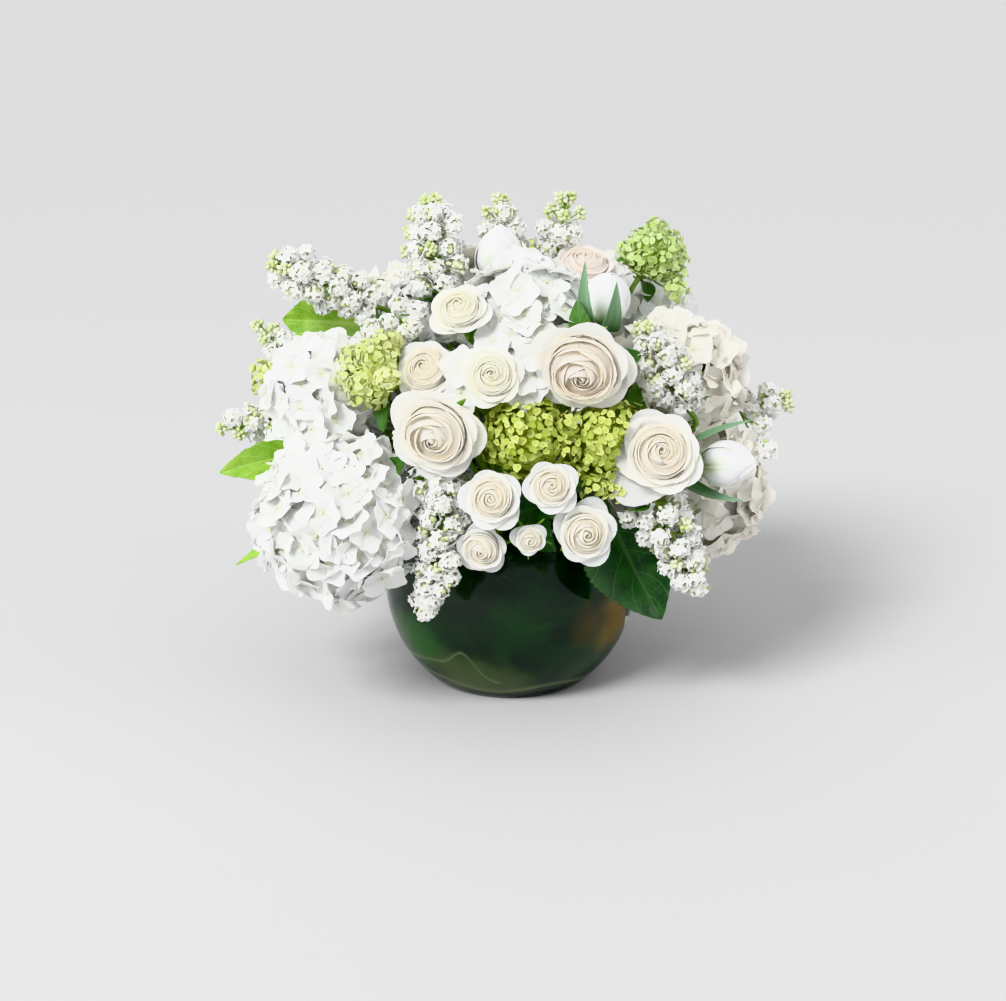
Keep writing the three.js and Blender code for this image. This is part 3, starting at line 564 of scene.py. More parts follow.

# %% [markdown]
# Snowball viburnum is a ball too, but its florets are tiny: five rounded lobes, some 8 mm across, fresh
# yellow-green. Each is a fan of triangles. Points of its rim are drawn in at even steps, which leaves five
# lobes, and the middle is sunk, which cups the floret. They grow in small tufts, so the head is lumpy: each
# floret sinks with its distance from the middle of its tuft, and is painted darker as it sinks, as painted
# shade. A dark ball inside the head, and in a full head a hidden layer of darker florets, are painted shade
# between the florets. A head that is still opening is looser, with its tufts apart on short stalks.

# %% Small florets
SMALL_THICKNESS = 0.35 * MM


def lobed_floret(lobes, corners, radius, notch, cup, seed):
    """A small floret as a fan of triangles, with its lobes parted by notches."""
    draw = random.Random(f"lobed floret {seed}")
    form = new_form()
    bmesh.ops.create_circle(form, cap_ends=True, cap_tris=True, segments=corners * lobes, radius=radius)
    uv = form.loops.layers.uv["petal"]
    rim = [vert for vert in form.verts if vert.co.length > radius / 2]
    for vert in rim:
        corner = round(math.atan2(vert.co.y, vert.co.x) / (2 * math.pi) * corners * lobes) % corners
        vert.co *= notch if corner == 0 else draw.uniform(0.9, 1.08)
        vert.co.z = cup * radius * (0.5 if corner == 0 else draw.uniform(0.5, 1.3))
    for face in form.faces:
        face.smooth = True
        for loop in face.loops:
            loop[uv].uv = (0.5, 1.0 if loop.vert in rim else 0.0)
    return template(form, 0, SMALL_THICKNESS)


viburnum_florets = [lobed_floret(5, 2, 4.1 * MM, 0.55, 0.3, seed) for seed in range(5)]
viburnum_hidden = [lobed_floret(5, 2, 6.2 * MM, 0.60, 0.30, seed) for seed in range(5, 7)]
print("faces in a viburnum floret:", len(viburnum_florets[0].polygons))

# %% Viburnum heads
VIBURNUM_SPACING, TUFT_SPACING = 5.9 * MM, 16 * MM
TUFT_FLORETS, TUFT_REACH, TUFT_DEPTH, LOOSE_SPACING = 22, 9.5 * MM, 1.6, 16.5 * MM
HIDDEN_VIBURNUM_DEPTH, HIDDEN_VIBURNUM_SPACING = 9 * MM, 12 * MM
VIBURNUM_TONES = {
    "lime": petal_finish("viburnum_lime", (0.64, 0.71, 0.22), (0.38, 0.46, 0.06), (0.19, 0.26, 0.02),
                         heart_reach=0.7, glow=0.15, fan=3.0),
    "pale": petal_finish("viburnum_pale", (0.78, 0.83, 0.42), (0.50, 0.57, 0.14), (0.33, 0.42, 0.08),
                         heart_reach=0.6, glow=0.15, fan=3.0),
    "budding": petal_finish("viburnum_budding", (0.60, 0.72, 0.32), (0.36, 0.50, 0.12), (0.26, 0.38, 0.08),
                            heart_reach=0.6, glow=0.15, fan=3.0),
}


def away_from_roses(point, clearance):
    """Whether a point is clear of every rose and tulip."""
    firmest = [other for other in blooms if RANK[other.kind] == 0]
    return all(other.squashed(point - other.centre).length > 1 + clearance / other.wide for other in firmest)


def viburnum_tuft(form, heart, out, draw):
    """A side shoot's small tuft of florets, a ball of its own."""
    tone = draw.uniform(0, 0.5)
    for way in on_ball(out, TUFT_FLORETS, TUFT_DEPTH):
        place = heart + way * TUFT_REACH * draw.uniform(0.6, 1.1)
        spot = askew(draw, place, way, leaning(draw, 0.4), (0.75, 1.1))
        if away_from_roses(place, 6 * MM):
            stamp(form, draw.choice(viburnum_florets), spot, kept(draw.gauss(tone, 0.15)))


def with_core(bloom, form, share):
    """Shows a head with a ball in it, a share as wide, which stops the eye between the florets. Its dark
    colour is painted shade.
    """
    # The core's dark colour is painted shade between the florets.
    core = bmesh.ops.create_icosphere(form, subdivisions=2, radius=share * bloom.radius)
    bmesh.ops.translate(form, verts=core["verts"], vec=bloom.centre - bloom.axis * 0.1 * bloom.radius)
    for vert in core["verts"]:
        vert[form.verts.layers.float["tint"]] = 1.0
    return dress(bloom, "florets", form, [VIBURNUM_TONES[bloom.tone]], "viburnum_florets")


def loose_head(bloom):
    """An unopened head: separate tufts at the ends of short stalks, with gaps between them."""
    draw = random.Random(bloom.name)
    form = new_form()
    for way in spread(bloom.axis, bloom.radius - TUFT_REACH, LOOSE_SPACING, 1):
        out = (way + leaning(draw, 0.2)).normalized()
        reach = bloom.radius * draw.uniform(0.76, 1.08) - TUFT_REACH
        reach = min(reach, free_reach(bloom, bloom.centre, out, reach + TUFT_REACH, 2 * MM) - TUFT_REACH)
        if reach > 2 * MM:
            viburnum_tuft(form, bloom.centre + out * reach, out, draw)
    return with_core(bloom, form, 0.5)


def viburnum_head(bloom):
    if bloom.tone != "lime":
        return loose_head(bloom)
    draw = random.Random(bloom.name)
    form = new_form()
    tufts = [((way + leaning(draw, 0.09)).normalized(), draw.uniform(0, 0.6), draw.uniform(-6, 2) * MM)
             for way in spread(bloom.axis, bloom.radius, TUFT_SPACING, 1)]
    # The hidden layer's florets take a tint of 0.8, towards the dark shaded colour: painted shade between the
    # tufts.
    layers = [(0, VIBURNUM_SPACING, 0.0, viburnum_florets),
              (HIDDEN_VIBURNUM_DEPTH, HIDDEN_VIBURNUM_SPACING, 0.8, viburnum_hidden)]
    for depth, spacing, shade, florets in layers:
        radius = bloom.radius - depth
        for out in spread(bloom.axis, radius, spacing, depth / MM):
            tuft, tone, swell = max(tufts, key=lambda row: row[0].dot(out))
            off = (tuft - out).length * radius / (10 * MM)
            reach = radius - 1 * MM + swell - 8 * MM * off ** 2 + draw.uniform(-1.5, 1.5) * MM
            reach = min(reach, free_reach(bloom, bloom.centre, out, reach, 3 * MM))
            place = bloom.centre + out * reach
            spot = askew(draw, place, out, (out - tuft) * 1.2 + leaning(draw, 0.4), (0.8, 1.15))
            # Painted shade: a floret is darker the further it lies from its tuft's middle, where it sinks.
            # The tuft's tone and the random term vary the rest.
            tint = kept(shade + tone + 0.35 * off * off + draw.gauss(0, 0.2))
            floret = draw.choice(florets)
            if reach > 0.4 * radius and nearest_gap(bloom, place) > 1 * MM:
                stamp(form, floret, spot, tint)
    return with_core(bloom, form, 0.6)


made = {bloom.name: len(viburnum_head(bloom).data.polygons) for bloom in blooms if bloom.kind == "viburnum"}
print("faces on each viburnum:", made)

# %% [markdown]
# A lilac spike is a loose cone. Short side stalks leave its axis, and each carries a round cluster
# of florets with four lobes. Towards the tip they are still closed, as green-white beads. So the
# spike is grown that way: axis, side stalks, then florets or buds on each cluster. How far up a
# spike has opened is listed for those that aren't nearly in full flower.

# %% Lilac florets and stalks
LILAC_RADIUS = 4.6 * MM
LILAC_WHITE = petal_finish("lilac_white", (0.96, 0.95, 0.94), (0.72, 0.74, 0.52), (0.90, 0.90, 0.81),
                           heart_reach=0.4, glow=0.5, fan=3.0)
lilac_florets = [lobed_floret(4, 3, LILAC_RADIUS, 0.5, 0.08, seed) for seed in range(10, 15)]
lilac_bud = bead(1.7 * MM, 1.5)
cluster_core = bead(1 * MM)
BUDS, STALKS = 1, 2  # the places of their finishes, after the florets' own


def bud_finish():
    finish = Finish("lilac_bud")
    tone = finish.mixed(finish.tint(), (0.80, 0.81, 0.66), (0.46, 0.56, 0.20))
    return finish.surface(tone, 0.5, Subsurface_Weight=0.1, Subsurface_Scale=0.002)


def stalk_finish():
    finish = Finish("stalk_green")
    place = finish.node("ShaderNodeTexCoord").outputs["Object"]
    mottle = finish.node("ShaderNodeTexNoise", Vector=place, Scale=160.0, Detail=3.0).outputs[0]
    tone = finish.mixed(finish.ranged(mottle, 0.35, 0.7), (0.12, 0.26, 0.04), (0.28, 0.40, 0.10))
    return finish.surface(tone, 0.5, mottle, distance=0.0003, Specular_IOR_Level=0.4)


LILAC_BUD = bud_finish()
STALK_GREEN = stalk_finish()


def tubes(paths):
    """Closed tubes along lists of (point, radius), as one mesh made from a bevelled curve."""
    curve = bpy.data.curves.new("tubes", "CURVE")
    curve.dimensions = "3D"
    curve.bevel_depth = 1.0
    curve.bevel_resolution = 1
    curve.resolution_u = 4
    curve.use_fill_caps = True
    for path in paths:
        spline = curve.splines.new("BEZIER")
        spline.bezier_points.add(len(path) - 1)
        for knot, (point, radius) in zip(spline.bezier_points, path):
            knot.co = point
            knot.radius = radius
            knot.handle_left_type = knot.handle_right_type = "AUTO"
    thing = bpy.data.objects.new("tubes", curve)
    bpy.context.scene.collection.objects.link(thing)
    seen = thing.evaluated_get(bpy.context.evaluated_depsgraph_get())
    mesh = bpy.data.meshes.new_from_object(seen)
    bpy.data.objects.remove(thing)
    for face in mesh.polygons:
        face.use_smooth = True
    return mesh


print("faces in a lilac floret:", len(lilac_florets[0].polygons))

# %% Lilac spikes
CLUSTER_REACH = 7 * MM
CLUSTER_SPACING = 16.5 * MM
CLUSTER_ROW = 13 * MM
CLUSTER_FLORETS, CLUSTER_DEPTH = 14, 1.8
OPENED = {"lilac_far_right": 0.6, "lilac_left_high": 0.5, "lilac_far_left": 0.6, "lilac_top_right": 0.66,
          "lilac_top": 0.66, "lilac_front": 0.9}
OPENED_MOST = 0.85
CLOSED_SHARE, BUDDING_SHARE = 0.14, 0.07
OPEN_CORE, BUDDING_CORE, BUDDING_REACH = 5.2, 2.4, 0.62


def lilac_clusters(bloom, draw):
    """The middle of each cluster on a spike, where its stalk leaves the axis, its way out, and its age."""
    length = 2 * bloom.long
    side = bloom.axis.orthogonal().normalized()
    rows = max(3, round(length / CLUSTER_ROW))
    for row in range(rows):
        up = (row + 0.6) / rows
        taper = math.sin(math.pi * (0.20 + 0.75 * up ** 1.2)) ** 0.55
        ring = max(bloom.radius * taper - CLUSTER_REACH * 0.85, 0)
        around = max(1, round(2 * math.pi * ring / CLUSTER_SPACING))
        start = bloom.root + bloom.axis * length * min(up, 0.93)
        for k in range(around):
            angle = (k + 0.5 * (row % 2) + draw.uniform(-0.15, 0.15)) / around * 2 * math.pi
            out = Matrix.Rotation(angle, 3, bloom.axis) @ side
            out = (out + bloom.axis * (0.15 + 0.8 * up * up)).normalized()
            reach = ring * draw.uniform(0.72, 1.25)
            free = free_reach(bloom, start, out, reach + CLUSTER_REACH, 2 * MM)
            reach = min(reach, free - CLUSTER_REACH * 0.6)
            if reach >= 0:
                yield start + out * reach, start - bloom.axis * 3 * MM, out, up


def lilac_cluster(form, heart, out, budding, draw, bloom=None):
    """A round cluster of florets, or of buds, about a pale green core, and how many it holds."""
    tone = draw.uniform(0, 0.4)
    stamp(form, cluster_core, looking(heart, out, 0, BUDDING_CORE if budding else OPEN_CORE), 0.4, BUDS)
    count = 0
    for way in on_ball(out, CLUSTER_FLORETS, CLUSTER_DEPTH):
        place = heart + way * CLUSTER_REACH * draw.uniform(0.7, 1.1) * (BUDDING_REACH if budding else 1)
        spot = askew(draw, place, way, leaning(draw, 0.25), (0.85, 1.2))
        closed = budding or draw.random() < CLOSED_SHARE
        if bloom and nearest_gap(bloom, place) < 0.5 * MM:
            continue
        if closed:
            stamp(form, lilac_bud, spot, draw.random(), BUDS)
        else:
            stamp(form, draw.choice(lilac_florets), spot, kept(draw.gauss(tone, 0.12)))
        count += 1
    return count


def lilac_spike(bloom):
    draw = random.Random(bloom.name)
    form = new_form()
    opened = OPENED.get(bloom.name, OPENED_MOST)
    tip = bloom.root + bloom.axis * 1.86 * bloom.long
    stalks = [[(bloom.root, 1.5 * MM), (tip, 0.7 * MM)]]
    count = 0
    for heart, start, out, up in lilac_clusters(bloom, draw):
        stalks.append([(start, 0.7 * MM), (heart, 0.5 * MM)])
        budding = up > opened + draw.uniform(-0.12, 0.12) or draw.random() < BUDDING_SHARE
        count += lilac_cluster(form, heart, out, budding, draw, bloom)
    stamp(form, tubes(stalks), Matrix.Identity(4), 0.5, STALKS)
    dress(bloom, "florets", form, [LILAC_WHITE, LILAC_BUD, STALK_GREEN], "lilac_florets")
    return count


made = {bloom.name: lilac_spike(bloom) for bloom in blooms if bloom.kind == "lilac"}
print("florets on each lilac:", made)

# %% [markdown]
# A garden rose opens from a tight spiral. Each petal stands a golden angle round from the last, and
# from the heart outwards the petals grow wider and lower. The inner ones close over the heart, and
# the outer ones flare and roll back at the lip. So one sheet rule draws every petal. It bends the
# sheet along a curve whose four control points move with the petal's age, from 0 at the heart to 1
# at the outside. A real heart holds dozens of petals, packed tight. Here a pale dome just under
# their rims stands in for the bases of those that are left out, so that no dark slot shows. One rose
# has let a petal fold right out, and that petal is listed with the side that it hangs to.

# %% Roses
ROSE_THICKNESS = 0.45 * MM
ROSE_FULLNESS = 1.07
CLOSED_HALF_TURN = 1.01 * math.pi
FOLDED_PETALS = {"rose_right": Vector((-0.65, 0, -0.76))}
FOLDED_AGE = 1.2
LARGE_ROSE, OPEN_ROSE = 30 * MM, 15 * MM


def rose_finish(name, outer, heart, shaded):
    finish = Finish(name)
    across, along = finish.petal_place()
    veins = finish.veins(across, along, 26.0, 1.2)
    deep = finish.math("MULTIPLY", finish.ranged(finish.tint(), 0.85, 0.1), finish.ranged(along, 1.3, 0.4))
    tone = finish.mixed(deep, outer, heart)
    tone = finish.mixed(finish.ranged(along, 0.4, 0.0), tone, shaded)
    tone = finish.mixed(finish.math("MULTIPLY", finish.ranged(veins, 0.45, 0.72), 0.1), tone, shaded)
    return finish.surface(tone, 0.55, veins, Subsurface_Weight=0.6, Subsurface_Scale=0.012,
                          Subsurface_Radius=(1.0, 0.85, 0.6), Sheen_Weight=0.1, Specular_IOR_Level=0.3)


ROSE_TONES = {
    "peach": rose_finish("rose_peach", (0.98, 0.945, 0.86), (0.98, 0.77, 0.52), (0.96, 0.84, 0.62)),
    "ivory": rose_finish("rose_ivory", (0.98, 0.955, 0.87), (0.98, 0.85, 0.60), (0.96, 0.88, 0.66)),
    "blush": rose_finish("rose_blush", (0.98, 0.925, 0.86), (0.97, 0.78, 0.62), (0.95, 0.82, 0.68)),
    "lemon": rose_finish("rose_lemon", (0.98, 0.965, 0.86), (0.96, 0.91, 0.62), (0.93, 0.90, 0.60)),
    "spray": rose_finish("rose_spray", (0.98, 0.97, 0.92), (0.97, 0.83, 0.52), (0.96, 0.90, 0.66)),
}


def on_curve(first, second, third, last, share):
    """A point of a cubic curve."""
    rest = 1 - share
    ends = first * rest ** 3 + last * share ** 3
    return ends + (second * rest + third * share) * 3 * rest * share


def rose_petal(form, radius, age, angle, draw):
    """One petal of a rose whose seat is the origin and which looks along +Z."""
    tall = draw.uniform(0.95, 1.04)
    opened = max(age - 0.35, 0) / 0.65
    foot = Vector((0.07, 0.02))
    belly = Vector((0.34 + 0.75 * age - 0.30 * age ** 2 - 0.14 * opened, 0.10 - 0.05 * age))
    neck = Vector((0.30 + 0.95 * age - 0.50 * age ** 2 - 0.22 * opened,
                   (0.85 + 0.05 * age - 0.28 * age ** 2 - 0.04 * opened) * tall))
    rim = Vector((age * draw.uniform(0.96, 1.05), (1.10 - 0.46 * age ** 1.9) * tall))
    width, widest = radius * (0.46 + 0.46 * age), math.radians(122 - 22 * age)
    wave, phase = 0.045 * radius * (0.3 + age), draw.uniform(0, FULL_TURN)

    def bend(s, v):
        along = v * (1 - (0.16 + 0.06 * age) * abs(s) ** 2.6)
        out, rise = on_curve(foot, belly, neck, rim, along) * radius
        lip = max(along - 0.78, 0) / 0.22
        out += radius * (0.14 * age ** 1.5 * lip ** 2 + 0.06 * s * (1 - 0.4 * age) * along)
        rise -= radius * (0.13 * age ** 1.5 * lip ** 2 + 0.07 * s * s * along)
        rise += wave * math.sin(2.4 * s + phase) * along ** 3
        share = math.sin(math.pi * (0.10 + 0.60 * along)) ** 0.6
        return about_axis(out, angle + s * min(width * share / max(out, 0.02 * radius), widest), rise)

    cage = 5 if age > 0.3 else 4
    add_sheet(form, cage, cage, bend, age)


def rose_heart(form, radius):
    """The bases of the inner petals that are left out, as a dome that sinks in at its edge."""
    def bend(s, v):
        out = 0.62 * math.sin(math.pi * 0.62 * v)
        rise = 0.95 - 0.184 * (out / 0.62) ** 1.9
        rise *= 1 - 3 * max(v - 0.8, 0)
        return about_axis(out, CLOSED_HALF_TURN * s, rise) * radius

    add_sheet(form, 14, 6, bend, 0.3)


def sepals(form, radius, finish, spread_out):
    """Five narrow green sepals under a flower."""
    for k in range(5):
        turn = Matrix.Rotation(k * 2 * math.pi / 5, 3, "Z")

        def bend(s, v):
            half = radius * 0.11 * (1 - v) ** 0.7 + 0.2 * MM
            out = radius * (0.12 + spread_out * v)
            return turn @ Vector((out, half * s, radius * (0.02 + 0.30 * v * v - 0.05 * s * s) - 0.6 * MM))

        add_sheet(form, 2, 4, bend, 0.5, finish)


def rose(bloom, petals, tone, slot):
    draw = random.Random(bloom.name)
    form = new_form()
    radius = bloom.radius * ROSE_FULLNESS
    for i in range(petals):
        age = 0.01 + 0.98 * ((i + 0.5) / petals) ** 0.95
        rose_petal(form, radius, age, i * GOLDEN_ANGLE + draw.uniform(-0.2, 0.2), draw)
    rose_heart(form, radius)
    sepals(form, radius, 1, 0.72 if bloom.radius > OPEN_ROSE else 1.15)
    place = looking(bloom.root, bloom.axis, draw.uniform(0, FULL_TURN))
    if bloom.name in FOLDED_PETALS:
        side = place.to_3x3().inverted() @ FOLDED_PETALS[bloom.name]
        rose_petal(form, radius, FOLDED_AGE, math.atan2(side.y, side.x), draw)
    bmesh.ops.transform(form, matrix=place, verts=form.verts)
    thing = dress(bloom, "petals", form, [ROSE_TONES[tone], STALK_GREEN], slot)
    return with_thickness(thing, 1, ROSE_THICKNESS)


for bloom in blooms:
    if bloom.kind == "rose":
        rose(bloom, 34 if bloom.radius > LARGE_ROSE else 27, bloom.tone, "rose_petals")
    if bloom.kind == "spray":
        rose(bloom, 25 if bloom.radius > OPEN_ROSE else 16, "spray", "spray_rose_petals")
print("roses:", len(ROSES) + len(SPRAY_ROSES))

# %% [markdown]
# A closed tulip is six tall petals in two rings of three, wrapped into an egg. White ones keep a
# green streak up the back of each petal, strongest near the stem.

# %% Tulips
def tulip_finish():
    finish = Finish("tulip_white")
    across, along = finish.petal_place()
    veins = finish.veins(across, along, 30.0, 1.0)
    middle = finish.math("ABSOLUTE", finish.math("SUBTRACT", across, 0.5))
    streak = finish.math("MULTIPLY", finish.ranged(middle, 0.26, 0.02), finish.ranged(along, 0.85, 0.15))
    streak = finish.math("MULTIPLY", streak, finish.ranged(veins, 0.3, 0.6, 0.5, 1.0))
    tone = finish.mixed(streak, (0.90, 0.91, 0.89), (0.46, 0.60, 0.24))
    tone = finish.mixed(finish.ranged(along, 0.22, 0.0), tone, (0.52, 0.64, 0.28))
    return finish.surface(tone, 0.42, veins, Subsurface_Weight=0.3, Subsurface_Scale=0.004,
                          Subsurface_Radius=(0.9, 1.0, 0.7), Specular_IOR_Level=0.4)


TULIP_WHITE = tulip_finish()
TULIP_THICKNESS = 0.5 * MM
TULIP_HEIGHT = 2.42
TULIP_WRAP = math.radians(66)


def tulip(bloom):
    draw = random.Random(bloom.name)
    form = new_form()
    height = TULIP_HEIGHT * bloom.radius
    for k in range(6):
        ring = k % 2
        angle = k * math.pi / 3 + draw.uniform(-0.06, 0.06)
        tall = height * draw.uniform(0.95, 1.0)

        def bend(s, v):
            width = math.sin(math.pi * (0.12 + 0.80 * v)) ** 0.6
            out = bloom.radius * math.sin(math.pi * (0.08 + 0.915 * v)) ** 0.7
            out *= (0.90 + 0.08 * ring) * (1 + 0.05 * s - 0.05 * s * s)
            return about_axis(out, angle + s * TULIP_WRAP * width, tall * v - 0.06 * height * s * s * v)

        add_sheet(form, 6, 9, bend, draw.random())
    place = looking(bloom.root, bloom.axis, draw.uniform(0, FULL_TURN))
    bmesh.ops.transform(form, matrix=place, verts=form.verts)
    return with_thickness(dress(bloom, "petals", form, [TULIP_WHITE], "tulip_petals"), 1, TULIP_THICKNESS)


for bloom in blooms:
    if bloom.kind == "tulip":
        tulip(bloom)
print("tulips:", len(TULIPS))

# %% [markdown]
# Stems stand in the water, cross the mouth of the bowl and lean out to their blooms. Those on one
# side of the bowl are held together as a bundle. Their route follows from where the bloom is: over
# the rim for a low bloom and near the middle for a high one. A bevelled curve makes each a tube.

# %% Stems
SECTORS = 8
FOOT_RING, FOOT_Z = 34 * MM, 8 * MM
TOP_RING, TOP_Z = 27 * MM, 150 * MM
NECK_Z, NECK_RADIUS, NECK_RADIUS_LEAST = 163 * MM, 54 * MM, 9 * MM
BUNDLE_SPREAD = 4.2 * MM
FOOT_STEP = 5 * MM
STRAIGHT_END = 12 * MM
FORK_END = 8 * MM
LOW_BLOOM_LIFT = 26 * MM
STEM_RADIUS = {"hydrangea": 3, "rose": 2.5, "spray": 1.5, "tulip": 2.8, "viburnum": 2.1, "lilac": 2.1}
SPRAY_FORK = Vector((10, -90, 172)) * MM
FORKS = {"rose_left_small": "rose_top_left", "viburnum_middle_right": "viburnum_middle",
         "lilac_top_right": "lilac_top", "lilac_left_high": "lilac_far_left"}


def sector_of(point):
    turn = math.atan2(point.x, -point.y) / (2 * math.pi)
    return math.floor((turn + 1) * SECTORS) % SECTORS


def ring_point(sector, radius, z):
    angle = (sector + 0.5) / SECTORS * 2 * math.pi
    return Vector((radius * math.sin(angle), -radius * math.cos(angle), z))


def stem_route(bloom):
    """The points of a stem from the bowl's mouth to the root of its bloom."""
    before = bloom.root - bloom.axis * STRAIGHT_END
    flat = math.hypot(before.x, before.y)
    elevation = math.degrees(math.atan2(before.z - TOP_Z, flat))
    out = min(max(NECK_RADIUS * (90 - elevation) / 85, NECK_RADIUS_LEAST), NECK_RADIUS)
    neck = Vector((before.x / flat * out, before.y / flat * out, NECK_Z))
    lift = max(0, NECK_Z + LOW_BLOOM_LIFT - before.z) * 0.5
    middle = neck.lerp(before, 0.45) + Vector((0, 0, 5 * MM + lift))
    return [neck, middle, before, bloom.root + bloom.axis * 2 * MM]


def bundle_paths(sector, routes):
    """Gives each route of a sector its own strand of the bundle below the bowl's mouth."""
    paths = []
    for i, (route, radius) in enumerate(routes):
        spin = i * GOLDEN_ANGLE
        strand = BUNDLE_SPREAD * math.sqrt((i + 0.2) / len(routes))
        offset = about_axis(1, spin, 0) * strand
        foot = ring_point(sector, FOOT_RING, FOOT_Z + (i % 3) * FOOT_STEP) + offset
        top = ring_point(sector, TOP_RING, TOP_Z - 20 * MM) + offset
        paths.append([(point, radius) for point in [foot, foot.lerp(top, 0.5), top, *route]])
    return paths


by_name = {bloom.name: bloom for bloom in blooms}
stem_lines = {}
sector_routes = {sector: [] for sector in range(SECTORS)}
for bloom in blooms:
    if bloom.kind != "spray" and bloom.name not in FORKS:
        stem_lines[bloom.name] = stem_route(bloom)
        sector_routes[sector_of(bloom.root)].append((stem_lines[bloom.name], STEM_RADIUS[bloom.kind] * MM))
spray_route = [Vector((6 * MM, -NECK_RADIUS, NECK_Z + 3 * MM)), Vector((9, -78, 174)) * MM, SPRAY_FORK]
sector_routes[sector_of(SPRAY_FORK)].append((spray_route, 2.2 * MM))

for sector in range(SECTORS):
    paths = bundle_paths(sector, sector_routes[sector])
    for bloom in blooms:
        parent = by_name.get(FORKS.get(bloom.name, ""))
        if bloom.kind == "spray" and sector == sector_of(SPRAY_FORK):
            start = SPRAY_FORK
        elif parent and sector == sector_of(parent.root):
            start = stem_lines[parent.name][1]
        else:
            continue
        radius = STEM_RADIUS[bloom.kind] * MM
        way = [start, bloom.root - bloom.axis * FORK_END, bloom.root + bloom.axis * MM]
        paths.append([(point, radius) for point in way])
    form = new_form()
    stamp(form, tubes(paths), Matrix.Identity(4), 0.5)
    show(f"stem_bundle_{sector + 1}", form, [STALK_GREEN], f"stems_{sector + 1}", "stems_and_leaves")
    print("bundle", sector + 1, "stems:", len(paths))

# %% [markdown]
# Leaves are cut sheets too. A leaf hangs on a bent rib, its two halves rise from the rib like a
# shallow roof, and its edge has teeth that point to the tip. Side veins press furrows into it. The
# furrows are in the mesh, and the finish draws the pale lines along them. Four broad ones lie just
# under the crown, where the heads part, so that the bowl's mouth can't be seen from above. Each leaf
# is listed with its start, a point that its rib bends towards, its tip, its width, the way it faces,
# the share of it that is stalk, and its tone.

# %% Leaves
LEAF_THICKNESS = 0.5 * MM
LEAF_BELLY = 0.66
TEETH, TOOTH_DEPTH, TOOTH_BAND = 18, 0.12, 0.9
FURROW_DEPTH = 0.8 * MM
SIDE_VEINS = 7


def leaf_finish(name, dark, light, vein, gloss):
    finish = Finish(name)
    across, along = finish.petal_place()
    middle = finish.math("ABSOLUTE", finish.math("SUBTRACT", across, 0.5))
    slant = finish.math("SUBTRACT", along, finish.math("MULTIPLY", middle, 0.42))
    wave = finish.math("ABSOLUTE", finish.math("SINE", finish.math("MULTIPLY", slant, math.pi * SIDE_VEINS)))
    line = finish.math("MAXIMUM", finish.ranged(wave, 0.16, 0.03), finish.ranged(middle, 0.035, 0.012))
    place = finish.node("ShaderNodeTexCoord").outputs["Object"]
    mottle = finish.node("ShaderNodeTexNoise", Vector=place, Scale=70.0, Detail=4.0).outputs[0]
    tone = finish.mixed(finish.ranged(mottle, 0.3, 0.7), dark, light)
    cells = finish.node("ShaderNodeTexVoronoi", {"feature": "DISTANCE_TO_EDGE"}, Vector=place, Scale=260.0)
    net = finish.math("MULTIPLY", finish.ranged(cells.outputs["Distance"], 0.09, 0.0), 0.5)
    line = finish.math("MAXIMUM", line, net)
    tone = finish.mixed(finish.math("MULTIPLY", line, 0.55), tone, vein)
    height = finish.math("SUBTRACT", mottle, line)
    return finish.surface(tone, gloss, height, distance=0.0005, Subsurface_Weight=0.08,
                          Subsurface_Scale=0.002, Specular_IOR_Level=0.5)


LEAF_TONES = {
    "dark": leaf_finish("leaf_dark", (0.008, 0.04, 0.01), (0.022, 0.09, 0.018), (0.08, 0.18, 0.06), 0.38),
    "bright": leaf_finish("leaf_bright", (0.16, 0.35, 0.03), (0.31, 0.51, 0.07), (0.42, 0.60, 0.18), 0.45),
    "middle": leaf_finish("leaf_middle", (0.03, 0.11, 0.015), (0.07, 0.19, 0.03), (0.14, 0.27, 0.07), 0.45),
}


def blade_finish():
    finish = Finish("tulip_leaf")
    across, along = finish.petal_place()
    lines = finish.veins(across, along, 26.0, 0.6)
    tone = finish.mixed(finish.ranged(lines, 0.35, 0.65), (0.13, 0.25, 0.14), (0.22, 0.36, 0.22))
    return finish.surface(tone, 0.5, lines, Subsurface_Weight=0.08, Subsurface_Scale=0.002)


